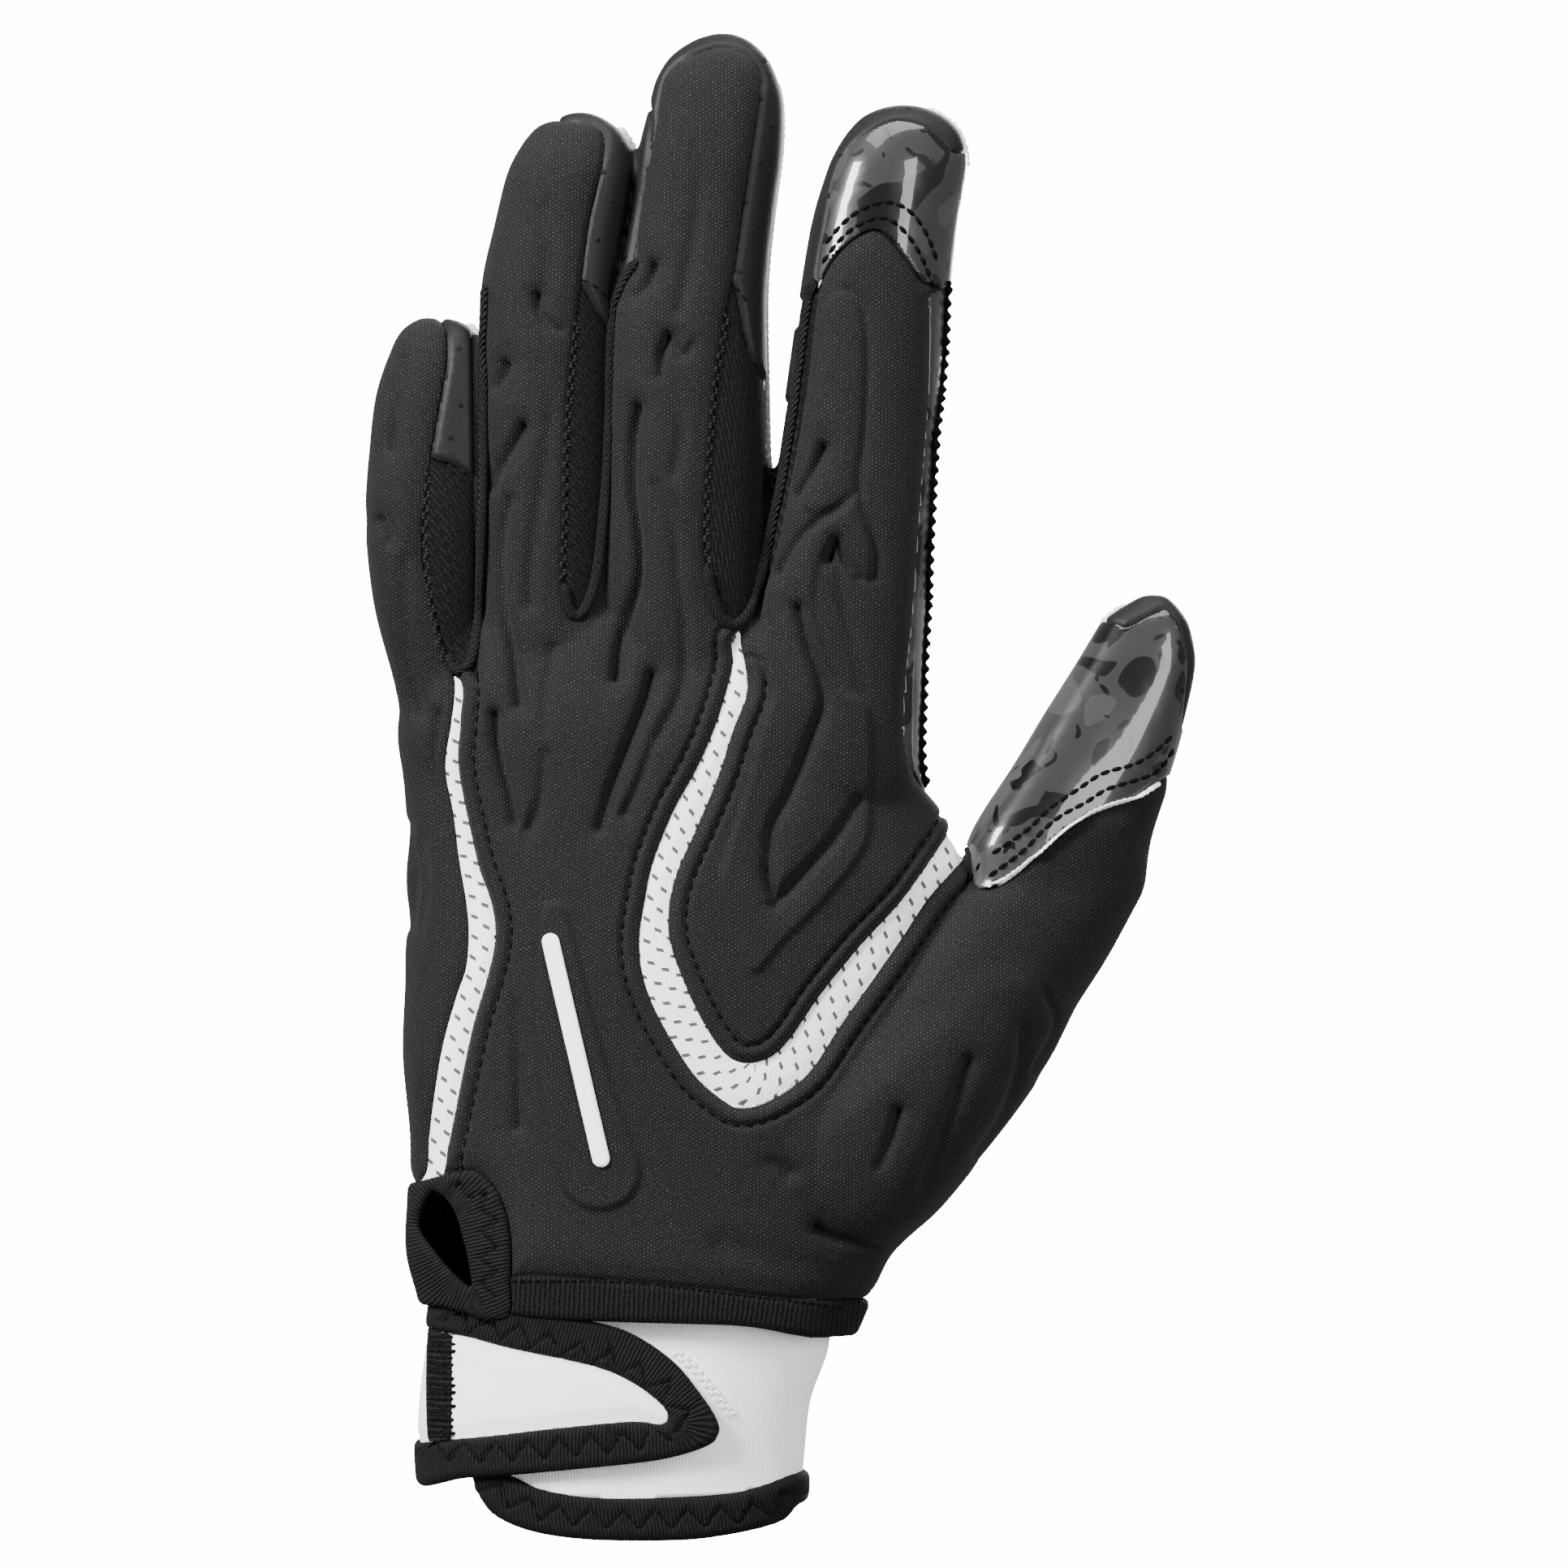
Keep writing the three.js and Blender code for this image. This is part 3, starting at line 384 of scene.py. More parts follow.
def cut(points, faces, value):
    """Splits the triangles that the zero line of value crosses. Returns new points, faces and values."""
    value = np.where(np.abs(value) < 1e-7, 1e-7, value)
    side = value > 0
    count = side[faces].sum(1)
    crossing = (count == 1) | (count == 2)
    work = faces[crossing]
    sides = side[work]
    lone = np.where(count[crossing] == 1, sides.argmax(1), (~sides).argmax(1))
    order = np.arange(len(work))
    a, b, c = work[order, lone], work[order, (lone + 1) % 3], work[order, (lone + 2) % 3]
    pairs = np.sort(np.concatenate([np.column_stack([a, b]), np.column_stack([a, c])]), axis=1)
    unique, inverse = np.unique(pairs, axis=0, return_inverse=True)
    inverse = inverse.reshape(-1)
    start, end = unique[:, 0], unique[:, 1]
    t = (value[start] / (value[start] - value[end]))[:, None]
    new_points = points[start] + t * (points[end] - points[start])
    p, q = len(points) + inverse[:len(work)], len(points) + inverse[len(work):]
    split = np.concatenate([np.column_stack([a, p, q]), np.column_stack([p, b, c]), np.column_stack([p, c, q])])
    return (np.vstack([points, new_points]), np.vstack([faces[~crossing], split]),
            np.concatenate([value, np.zeros(len(new_points))]))


def part_of(points, faces, keep):
    """The kept triangles alone, with only the points that they use."""
    faces = faces[keep]
    used, renumbered = np.unique(faces, return_inverse=True)
    return points[used], renumbered.reshape(-1, 3)


def split_by(points, faces, value):
    """Inside part (value below zero) and outside part of a mesh, cut cleanly between."""
    points, faces, value = cut(points, faces, value)
    inner = value[faces].mean(1) < 0
    return part_of(points, faces, inner), part_of(points, faces, ~inner)


# %% [markdown]
# ## The pattern
# These outlines follow the seams of the photographed glove. A side that meets a panel cut earlier runs on
# under it, and the earlier cut trims it.

# %% Outlines of the panels
outlines = {
    "vent_hole": [
        (-39.3, 20.6), (-37.9, 22.3), (-35.7, 23.0), (-32.4, 21.9), (-30.3, 19.8), (-28.9, 17.6),
        (-29.0, 16.8), (-32.2, 17.6), (-35.7, 18.9)],
    "vent_binding": [
        (-34.6, 24.1), (-27.9, 24.4), (-23.7, 23.0), (-21.5, 20.6), (-21.2, 17.4), (-21.8, 14.8),
        (-32.7, 14.8), (-39.0, 15.4), (-45.4, 17.9), (-45.4, 22.4)],
    "back_hem": [
        (-21.5, 17.4), (-5.6, 17.4), (18.3, 16.7), (32.7, 16.0), (50.2, 15.6), (50.2, 13.0),
        (42.2, 13.1), (34.3, 13.6), (22.3, 14.3), (-4.0, 14.6), (-21.5, 15.1)],
    "under_hem": [
        (-60.0, 17.0), (-21.5, 17.0), (30.0, 15.5), (60.0, 14.0), (60.0, 5.0), (-60.0, 5.0)],
    "grip_fold": [
        (62.3, 82.9), (60.9, 80.6), (60.7, 76.6), (60.2, 73.9), (59.0, 69.0), (58.4, 66.1), (57.3, 61.0),
        (56.3, 57.8), (55.5, 54.2), (55.9, 52.4), (57.7, 50.6), (60.2, 49.4), (61.9, 48.6),
        (66.5, 47.6), (68.5, 49.5), (75.0, 60.0), (78.0, 82.9)],
    "index_panel": [
        (50.5, 86.8), (55.0, 85.4), (58.7, 83.6), (64.0, 80.6), (62.0, 60.0), (65.8, 48.9),
        (65.4, 47.3), (61.4, 45.2), (55.0, 42.2), (47.0, 39.3), (39.0, 36.0), (33.5, 33.3),
        (29.5, 32.0), (24.7, 31.6), (20.7, 32.2), (16.7, 34.1), (12.8, 36.8), (10.0, 39.5),
        (9.7, 41.7), (11.2, 44.1), (15.1, 47.1), (19.1, 50.3), (22.3, 53.6), (24.7, 55.7),
        (24.9, 57.3), (23.7, 59.8), (26.3, 61.7), (29.5, 64.4), (33.0, 69.8), (35.9, 75.2),
        (37.5, 79.5), (38.7, 82.7), (40.5, 84.3), (43.4, 85.6), (46.8, 86.5)],
    "index_cap": [
        (53.4, 94.0), (59.8, 93.6), (64.9, 92.0), (71.7, 91.6), (71.7, 83.0), (60.0, 82.6),
        (50.5, 82.0), (41.6, 82.9), (39.0, 83.8), (41.0, 87.6), (42.2, 90.3), (45.4, 92.4)],
    "v_insert": [
        (23.7, 60.3), (22.0, 59.5), (22.0, 57.9), (20.4, 55.7), (18.0, 53.3), (14.8, 50.9),
        (10.4, 48.2), (6.5, 44.9), (4.9, 42.4), (3.8, 39.9), (4.3, 37.6), (6.6, 35.3),
        (10.8, 32.7), (15.1, 30.6), (19.9, 29.2), (23.6, 28.6), (29.5, 29.1), (37.0, 30.9),
        (43.2, 34.0), (50.4, 37.4), (55.6, 39.9), (60.6, 42.4), (65.4, 44.2), (67.3, 45.2),
        (66.6, 47.4), (53.4, 50.9), (26.3, 59.0)],
    "little_panel": [
        (-39.0, 81.5), (-34.9, 80.6), (-34.2, 78.2), (-35.4, 75.6), (-37.5, 71.4), (-39.0, 66.0),
        (-37.9, 63.0), (-35.1, 59.5), (-32.7, 56.9), (-33.3, 54.1), (-34.4, 51.9), (-34.3, 50.3),
        (-33.0, 48.2), (-31.7, 44.9), (-30.3, 42.2), (-29.8, 40.1), (-30.3, 37.9), (-31.9, 36.3),
        (-33.9, 34.1), (-35.4, 32.0), (-37.0, 28.7), (-37.8, 26.6), (-39.0, 23.9), (-47.0, 23.9),
        (-56.0, 48.2), (-56.0, 78.4), (-45.4, 80.0)],
    "side_insert": [
        (-32.2, 57.1), (-31.4, 54.1), (-31.9, 51.9), (-31.2, 49.8), (-29.5, 47.1), (-27.6, 44.4),
        (-25.5, 42.5), (-24.4, 40.6), (-24.7, 39.0), (-26.3, 36.8), (-28.7, 34.1), (-30.8, 30.9),
        (-32.4, 28.2), (-33.8, 26.0), (-35.4, 23.9), (-42.2, 23.9), (-45.4, 37.4), (-45.4, 55.7)],
    "thumb_cap": [
        (96.3, 60.7), (99.6, 60.4), (104.6, 61.2), (107.6, 61.5), (109.7, 60.2), (111.1, 58.0), (110.8, 56.2),
        (110.3, 53.8), (112.0, 51.6), (106.3, 50.4), (100.3, 49.0), (96.6, 48.6), (90.4, 47.7),
        (86.7, 46.9), (81.8, 45.4), (77.9, 44.2), (73.6, 43.2), (70.3, 43.1), (69.5, 43.9), (69.0, 45.6),
        (66.5, 48.5), (85.3, 60.0)],
    "back_panel": [
        (-7.5, 94.1), (-4.3, 93.7), (-3.3, 92.7), (-3.7, 91.1), (-4.8, 89.5), (-6.4, 87.0),
        (-7.7, 83.5), (-9.1, 79.5), (-10.4, 74.1), (-10.8, 68.7), (-11.2, 63.3), (-10.0, 61.3),
        (-8.4, 60.9), (-6.9, 61.4), (-4.8, 63.6), (-3.7, 67.3), (-2.4, 72.7), (-1.8, 77.9),
        (-0.8, 82.7), (2.7, 84.8), (3.2, 87.0), (4.8, 90.3), (6.4, 93.0), (8.4, 97.0),
        (13.5, 98.5), (19.9, 99.1), (25.0, 98.5), (27.6, 97.2), (27.3, 95.7), (25.8, 92.4),
        (24.2, 88.9), (22.3, 84.3), (20.2, 80.6), (18.3, 75.2), (17.1, 70.0), (16.4, 66.0),
        (17.1, 63.3), (19.1, 61.0), (21.8, 60.2), (37.5, 53.6), (66.0, 49.5), (72.0, 46.5),
        (80.0, 47.0), (92.0, 49.7), (100.0, 50.3), (106.3, 50.6), (117.1, 50.9), (117.1, 10.4), (-47.0, 10.4), (-47.0, 23.9), (-42.2, 37.4), (-31.7, 56.9),
        (-27.9, 58.7), (-29.0, 83.3), (-26.3, 91.4), (-18.3, 94.1)],
    "little_fourchette": [
        (-50.0, 81.6), (-19.9, 81.6), (-19.9, 69.8), (-26.3, 69.9), (-32.7, 71.1), (-37.9, 71.9),
        (-50.0, 76.2)],
    "ring_fourchette": [
        (-30.0, 95.7), (5.6, 95.7), (1.6, 84.0), (0.0, 79.6), (-2.4, 80.3), (-8.0, 83.5), (-10.4, 86.0)],
    "middle_fourchette": [
        (2.4, 100.5), (34.3, 100.5), (34.3, 76.8), (26.3, 78.1), (22.3, 83.0), (15.1, 86.0),
        (3.0, 83.7), (0.4, 83.5), (-1.1, 91.4)],
    "index_fourchette": [
        (34.3, 96.2), (70.9, 96.2), (70.9, 91.9), (37.5, 82.7), (31.1, 82.7)],
    "thumb_fourchette": [
        (91.6, 63.3), (117.1, 63.3), (117.1, 50.3), (107.6, 50.3)],
    "little_ring_gusset": [
        (-42.2, 73.0), (-26.6, 69.8), (-26.6, 57.3), (-28.7, 57.1), (-31.7, 57.1), (-42.2, 59.0)],
    "ring_middle_gusset": [
        (-12.0, 83.5), (-0.5, 83.0), (4.0, 64.4), (-4.0, 59.5), (-8.4, 60.0), (-13.5, 61.1)],
    "middle_index_gusset": [
        (13.5, 83.5), (35.9, 83.5), (43.0, 83.5), (41.0, 79.5), (39.0, 75.2), (34.5, 66.0), (28.0, 60.0),
        (21.5, 59.5), (13.5, 61.1)],
}
curves = {name: closed_curve(outline) for name, outline in outlines.items()}

# %% Cut the skin into panels
skin_points, skin_faces = read_mesh(skin.data)
wrist_end = upward(13.4) + upward(2.0) * ease(across(-15), across(-36), skin_points[:, 0])
_, (skin_points, skin_faces) = split_by(skin_points, skin_faces, skin_points[:, 2] - wrist_end)
flat = skin_points[:, [0, 2]]
depth = skin_points[:, 1] - middle(flat[:, 0], flat[:, 1]) - palm_seam_offset
front_value = np.maximum(depth, -signed_distance(flat, curves["grip_fold"]))
front, palm_side = split_by(skin_points, skin_faces, front_value)
panels = {"palm_panel": palm_side}
rest = front
for name, curve in curves.items():
    if name == "grip_fold":
        continue
    taken, rest = split_by(*rest, signed_distance(rest[0][:, [0, 2]], curve))
    if name not in ("vent_hole", "under_hem"):
        panels[name] = taken
bpy.data.objects.remove(skin)
print("panels", {name: len(faces) for name, (points, faces) in panels.items()}, "left over", len(rest[1]))

# %% [markdown]
# ## Cloth and grip
# Every finish is built from small effects that several cloths share: a honeycomb of knit loops, ribs along a
# tape, slits in a mesh and blotches in the grip film. Each effect is a node group that puts out one value,
# and each material places it with its own scale and colours. The loops are laid from three sides and mixed
# by the way the cloth faces, so the pattern doesn't smear where the glove turns round a finger.

# %% Node helpers
def add_node(tree, kind, inputs=None, **settings):
    made = tree.nodes.new(kind)
    for key, value in settings.items():
        setattr(made, key, value)
    for key, value in (inputs or {}).items():
        if isinstance(value, bpy.types.NodeSocket):
            tree.links.new(value, made.inputs[key])
        else:
            made.inputs[key].default_value = value
    return made


def calculate(tree, operation, first, second=0.0, third=0.0):
    made = add_node(tree, "ShaderNodeMath", {0: first, 1: second}, operation=operation)
    if operation in ("MULTIPLY_ADD", "COMPARE"):
        if isinstance(third, bpy.types.NodeSocket):
            tree.links.new(third, made.inputs[2])
        else:
            made.inputs[2].default_value = third
    return made.outputs[0]


def between(tree, value, low, high, to_low=0.0, to_high=1.0):
    return add_node(tree, "ShaderNodeMapRange", {"Value": value, "From Min": low, "From Max": high,
                    "To Min": to_low, "To Max": to_high}, interpolation_type="SMOOTHSTEP").outputs[0]


def blend_colours(tree, factor, first, second):
    made = add_node(tree, "ShaderNodeMix", data_type="RGBA")
    for socket, value in ((made.inputs[0], factor), (made.inputs[6], first), (made.inputs[7], second)):
        if isinstance(value, bpy.types.NodeSocket):
            tree.links.new(value, socket)
        elif isinstance(value, tuple):
            socket.default_value = (*value, 1)
        else:
            socket.default_value = value
    return made.outputs[2]


def new_group(name, inputs, outputs):
    group = bpy.data.node_groups.new(name, "ShaderNodeTree")
    for label, kind, value in inputs:
        socket = group.interface.new_socket(label, in_out="INPUT", socket_type=kind)
        if value is not None:
            socket.default_value = value
    for label in outputs:
        group.interface.new_socket(label, in_out="OUTPUT", socket_type="NodeSocketFloat")
    start = group.nodes.new("NodeGroupInput")
    end = group.nodes.new("NodeGroupOutput")
    return group, start.outputs, end.inputs


def use_group(tree, group, **inputs):
    made = tree.nodes.new("ShaderNodeGroup")
    made.node_tree = group
    for key, value in inputs.items():
        if isinstance(value, bpy.types.NodeSocket):
            tree.links.new(value, made.inputs[key])
        else:
            made.inputs[key].default_value = value
    return made.outputs


# %% Honeycomb of knit loops
def honeycomb_on(tree, x, y, pitch):
    """Three waves at 60 degrees add up to a honeycomb of round loops."""
    wave = calculate(tree, "DIVIDE", 7.2552, pitch)
    total = None
    for share_x, share_y in ((1.0, 0.0), (0.5, 0.866), (0.5, -0.866)):
        along = calculate(tree, "ADD", calculate(tree, "MULTIPLY", x, share_x),
                          calculate(tree, "MULTIPLY", y, share_y))
        crest = calculate(tree, "COSINE", calculate(tree, "MULTIPLY", along, wave))
        total = crest if total is None else calculate(tree, "ADD", total, crest)
    return between(tree, total, -1.5, 3.0)


loops, start, end = new_group("knit loops", [("Pitch", "NodeSocketFloat", 0.00066)], ["Loops"])
straight = add_node(loops, "ShaderNodeTexCoord").outputs["Object"]
uneven = add_node(loops, "ShaderNodeTexNoise", {"Vector": straight, "Scale": 650.0, "Detail": 1.0}).outputs["Color"]
centred = add_node(loops, "ShaderNodeVectorMath", {0: uneven, 1: (0.5, 0.5, 0.5)}, operation="SUBTRACT").outputs[0]
shift = add_node(loops, "ShaderNodeVectorMath", {0: centred, "Scale": 0.0006}, operation="SCALE").outputs[0]
place_of = add_node(loops, "ShaderNodeVectorMath", {0: straight, 1: shift}, operation="ADD").outputs[0]
facing = add_node(loops, "ShaderNodeNewGeometry").outputs["Normal"]
x, y, z = add_node(loops, "ShaderNodeSeparateXYZ", {0: place_of}).outputs
side_x, side_y, side_z = [calculate(loops, "POWER", calculate(loops, "ABSOLUTE", part), 4.0)
                          for part in add_node(loops, "ShaderNodeSeparateXYZ", {0: facing}).outputs]
sides = calculate(loops, "ADD", calculate(loops, "ADD", side_x, side_y), side_z)
mixed = None
for first, second, weight in ((x, z, side_y), (y, z, side_x), (x, y, side_z)):
    part = calculate(loops, "MULTIPLY", honeycomb_on(loops, first, second, start["Pitch"]), weight)
    mixed = part if mixed is None else calculate(loops, "ADD", mixed, part)
loops.links.new(calculate(loops, "DIVIDE", mixed, sides), end["Loops"])

# %% Ribs, slits and blotches
ribs, start, end = new_group("ribs along a tape", [("Pitch", "NodeSocketFloat", 0.0006)], ["Ribs"])
along = add_node(ribs, "ShaderNodeSeparateXYZ", {0: add_node(ribs, "ShaderNodeUVMap").outputs[0]}).outputs[0]
wander = add_node(ribs, "ShaderNodeTexNoise", {"Vector": add_node(ribs, "ShaderNodeTexCoord").outputs["Object"],
                  "Scale": 700.0, "Detail": 1.0}).outputs["Fac"]
turn = calculate(ribs, "MULTIPLY_ADD", along, calculate(ribs, "DIVIDE", 6.2832, start["Pitch"]),
                 calculate(ribs, "MULTIPLY", wander, 3.0))
ribs.links.new(between(ribs, calculate(ribs, "SINE", turn), -1.0, 1.0), end["Ribs"])

slits, start, end = new_group("slits in a mesh", [
    ("Spacing", "NodeSocketFloat", 0.0034), ("Row", "NodeSocketFloat", 0.0019)], ["Slits"])
along, across_tape, _ = add_node(slits, "ShaderNodeSeparateXYZ",
                                 {0: add_node(slits, "ShaderNodeUVMap").outputs[0]}).outputs
row_place = calculate(slits, "DIVIDE", across_tape, start["Row"])
row = calculate(slits, "FLOOR", row_place)
column_place = calculate(slits, "MULTIPLY_ADD", row, 0.5, calculate(slits, "DIVIDE", along, start["Spacing"]))
in_row = calculate(slits, "SUBTRACT", calculate(slits, "SUBTRACT", row_place, row), 0.5)
in_column = calculate(slits, "SUBTRACT", calculate(slits, "FRACT", column_place), 0.5)
leaning = calculate(slits, "MULTIPLY_ADD", in_row, -0.25, in_column)
short = between(slits, calculate(slits, "ABSOLUTE", in_row), 0.24, 0.33, 1.0, 0.0)
thin = between(slits, calculate(slits, "ABSOLUTE", leaning), 0.06, 0.1, 1.0, 0.0)
slits.links.new(calculate(slits, "MULTIPLY", short, thin), end["Slits"])

blotches, start, end = new_group("blotches", [("Scale", "NodeSocketFloat", 75.0)], ["Dark", "Light"])
spot = add_node(blotches, "ShaderNodeTexCoord").outputs["Object"]
large = add_node(blotches, "ShaderNodeTexNoise", {"Vector": spot, "Scale": start["Scale"], "Detail": 1.5,
                 "Roughness": 0.45, "Distortion": 0.9}).outputs["Fac"]
small = add_node(blotches, "ShaderNodeTexNoise", {"Vector": spot, "Scale": calculate(
    blotches, "MULTIPLY", start["Scale"], 3.6), "Detail": 0.0, "Distortion": 0.6}).outputs["Fac"]
dark_large = between(blotches, large, 0.545, 0.552)
dark_small = between(blotches, small, 0.70, 0.71)
blotches.links.new(calculate(blotches, "MAXIMUM", dark_large, dark_small), end["Dark"])
blotches.links.new(between(blotches, large, 0.40, 0.407, 1.0, 0.0), end["Light"])

fuzz, start, end = new_group("yarn fuzz", [("Scale", "NodeSocketFloat", 3000.0)], ["Fuzz"])
grain = add_node(fuzz, "ShaderNodeTexNoise", {"Vector": add_node(fuzz, "ShaderNodeTexCoord").outputs["Object"],
                 "Scale": start["Scale"], "Detail": 2.0, "Roughness": 0.6}).outputs["Fac"]
fuzz.links.new(between(fuzz, grain, 0.3, 0.72), end["Fuzz"])


# %% Materials
def cloth(name, roughness, sheen=0.0, coat=0.0, gloss=0.15):
    material = bpy.data.materials.new(name)
    material.use_nodes = True
    shader = material.node_tree.nodes["Principled BSDF"]
    shader.inputs["Roughness"].default_value = roughness
    shader.inputs["Specular IOR Level"].default_value = gloss
    shader.inputs["Sheen Weight"].default_value = sheen
    shader.inputs["Sheen Roughness"].default_value = 0.5
    shader.inputs["Coat Weight"].default_value = coat
    shader.inputs["Coat Roughness"].default_value = 0.04
    return material, material.node_tree, shader


def raise_by(tree, shader, height, distance, strength=1.0):
    bump = add_node(tree, "ShaderNodeBump", {"Height": height, "Distance": distance, "Strength": strength})
    tree.links.new(bump.outputs[0], shader.inputs["Normal"])


def knit(name, dark, light, pitch, depth, roughness=0.85, sheen=0.0):
    """Jersey of small round loops, with a few loops that catch the light."""
    material, tree, shader = cloth(name, roughness, sheen)
    loop = use_group(tree, loops, Pitch=pitch)["Loops"]
    hair = use_group(tree, fuzz, Scale=2600.0)["Fuzz"]
    shine = calculate(tree, "MULTIPLY", calculate(tree, "POWER", loop, 1.6), hair)
    tree.links.new(blend_colours(tree, shine, dark, light), shader.inputs["Base Color"])
    raise_by(tree, shader, calculate(tree, "ADD", loop, calculate(tree, "MULTIPLY", hair, 0.4)), depth)
    return material


def ribbed(name, dark, light, pitch, depth, roughness=0.9, notches=None):
    """Ribs along a tape. An open knit also has rows of small dark notches between its ribs."""
    material, tree, shader = cloth(name, roughness)
    rib = use_group(tree, ribs, Pitch=pitch)["Ribs"]
    hair = use_group(tree, fuzz, Scale=2200.0)["Fuzz"]
    shine = calculate(tree, "MULTIPLY", rib, calculate(tree, "MULTIPLY_ADD", hair, 0.7, 0.3))
    height = calculate(tree, "ADD", rib, calculate(tree, "MULTIPLY", hair, 0.3))
    if notches:
        notch = use_group(tree, slits, Spacing=notches[0], Row=notches[1])["Slits"]
        shine = calculate(tree, "MULTIPLY", shine, calculate(tree, "SUBTRACT", 1.0, notch))
        height = calculate(tree, "SUBTRACT", height, calculate(tree, "MULTIPLY", notch, 1.5))
    tree.links.new(blend_colours(tree, shine, dark, light), shader.inputs["Base Color"])
    raise_by(tree, shader, height, depth)
    return material


def smooth_cloth(name, dark, light, roughness, depth, scale=1800.0, gloss=0.2):
    material, tree, shader = cloth(name, roughness, gloss=gloss)
    hair = use_group(tree, fuzz, Scale=scale)["Fuzz"]
    tree.links.new(blend_colours(tree, hair, dark, light), shader.inputs["Base Color"])
    raise_by(tree, shader, hair, depth)
    return material


def slit_mesh(name):
    material, tree, shader = cloth(name, 0.8)
    slit = use_group(tree, slits, Spacing=0.0034, Row=0.0019)["Slits"]
    loop = use_group(tree, loops, Pitch=0.0005)["Loops"]
    white = blend_colours(tree, loop, (0.72, 0.72, 0.73), (0.9, 0.9, 0.9))
    tree.links.new(blend_colours(tree, slit, white, (0.06, 0.06, 0.065)), shader.inputs["Base Color"])
    height = calculate(tree, "SUBTRACT", calculate(tree, "MULTIPLY", loop, 0.3), slit)
    raise_by(tree, shader, height, 0.0002)
    return material


def grip_film(name, roughness=0.3):
    """Printed grip under a clear film: the print is matt, and the film alone is glossy."""
    material, tree, shader = cloth(name, roughness, coat=0.55)
    patch = use_group(tree, blotches, Scale=75.0)
    grey = blend_colours(tree, patch["Light"], (0.019, 0.019, 0.02), (0.03, 0.03, 0.031))
    tree.links.new(blend_colours(tree, patch["Dark"], grey, (0.0015, 0.0015, 0.0017)), shader.inputs["Base Color"])
    ripple = add_node(tree, "ShaderNodeTexNoise", {"Vector": add_node(
        tree, "ShaderNodeTexCoord").outputs["Object"], "Scale": 140.0, "Detail": 1.0}).outputs["Fac"]
    raise_by(tree, shader, ripple, 0.0006, 0.5)
    return material


finishes = {
    "black_knit": knit("black knit", (0.0018, 0.0018, 0.0019), (0.026, 0.026, 0.027), 0.0006, 0.00009, 0.85, 0.02),
    "gusset_knit": ribbed("gusset knit", (0.0004, 0.0004, 0.0004), (0.0075, 0.0075, 0.0078), 0.00085, 0.0006,
                          notches=(0.0017, 0.0021)),
    "root_tape": ribbed("braided root tape", (0.0006, 0.0006, 0.0007), (0.014, 0.014, 0.0145), 0.0011, 0.0005),
    "fourchette": smooth_cloth("finger side", (0.0048, 0.0048, 0.005), (0.0064, 0.0064, 0.0066), 0.55, 0.00002,
                               gloss=0.14),
    "binding": ribbed("ribbed binding", (0.0004, 0.0004, 0.0004), (0.0075, 0.0075, 0.0078), 0.0006, 0.0003),
    "hem": ribbed("coarse ribbed hem", (0.0003, 0.0003, 0.0003), (0.006, 0.006, 0.0062), 0.0008, 0.0005),
    "cuff": ribbed("white cuff", (0.74, 0.74, 0.75), (0.94, 0.94, 0.94), 0.00052, 0.00005),
    "strap": knit("white strap knit", (0.74, 0.74, 0.75), (0.94, 0.94, 0.94), 0.00045, 0.00004),
    "mesh": slit_mesh("white mesh"),
    "grip": grip_film("grip film"),
    "raw_edge": smooth_cloth("raw white edge", (0.5, 0.5, 0.5), (0.9, 0.9, 0.9), 0.9, 0.0001),
    "thread": smooth_cloth("black thread", (0.0004, 0.0004, 0.0004), (0.0035, 0.0035, 0.0036), 0.85, 0.00005,
                           gloss=0.06),
    "white_thread": smooth_cloth("white thread", (0.7, 0.7, 0.7), (0.9, 0.9, 0.9), 0.7, 0.00005),
    "emblem": smooth_cloth("plain white print", (0.84, 0.84, 0.84), (0.9, 0.9, 0.9), 0.5, 0.00001),
    # punched holes are not cut: a disc darker than the black finger side is their painted shade
    "hole": smooth_cloth("punched hole", (0.001, 0.001, 0.001), (0.003, 0.003, 0.003), 0.9, 0.00001),
}
print("finishes", len(finishes))

# %% [markdown]
# ## Padding
# The back is foam under jersey, pressed into pads with narrow valleys between them. Each valley is a stroke
# through a few points that were read off the photograph. The cloth sinks most in the middle of the stroke
# and a little on both sides of it. Pads with a hard edge are closed outlines that lift what is inside them.

# %% Valleys and pads, in points of the photograph
def place(points):
    """From points of the photograph to metres across and up. The glove stands 1852 points high there."""
    size = glove_height / 1852
    return np.array([((px - 765) * size, (1892 - py) * size) for px, py in points])


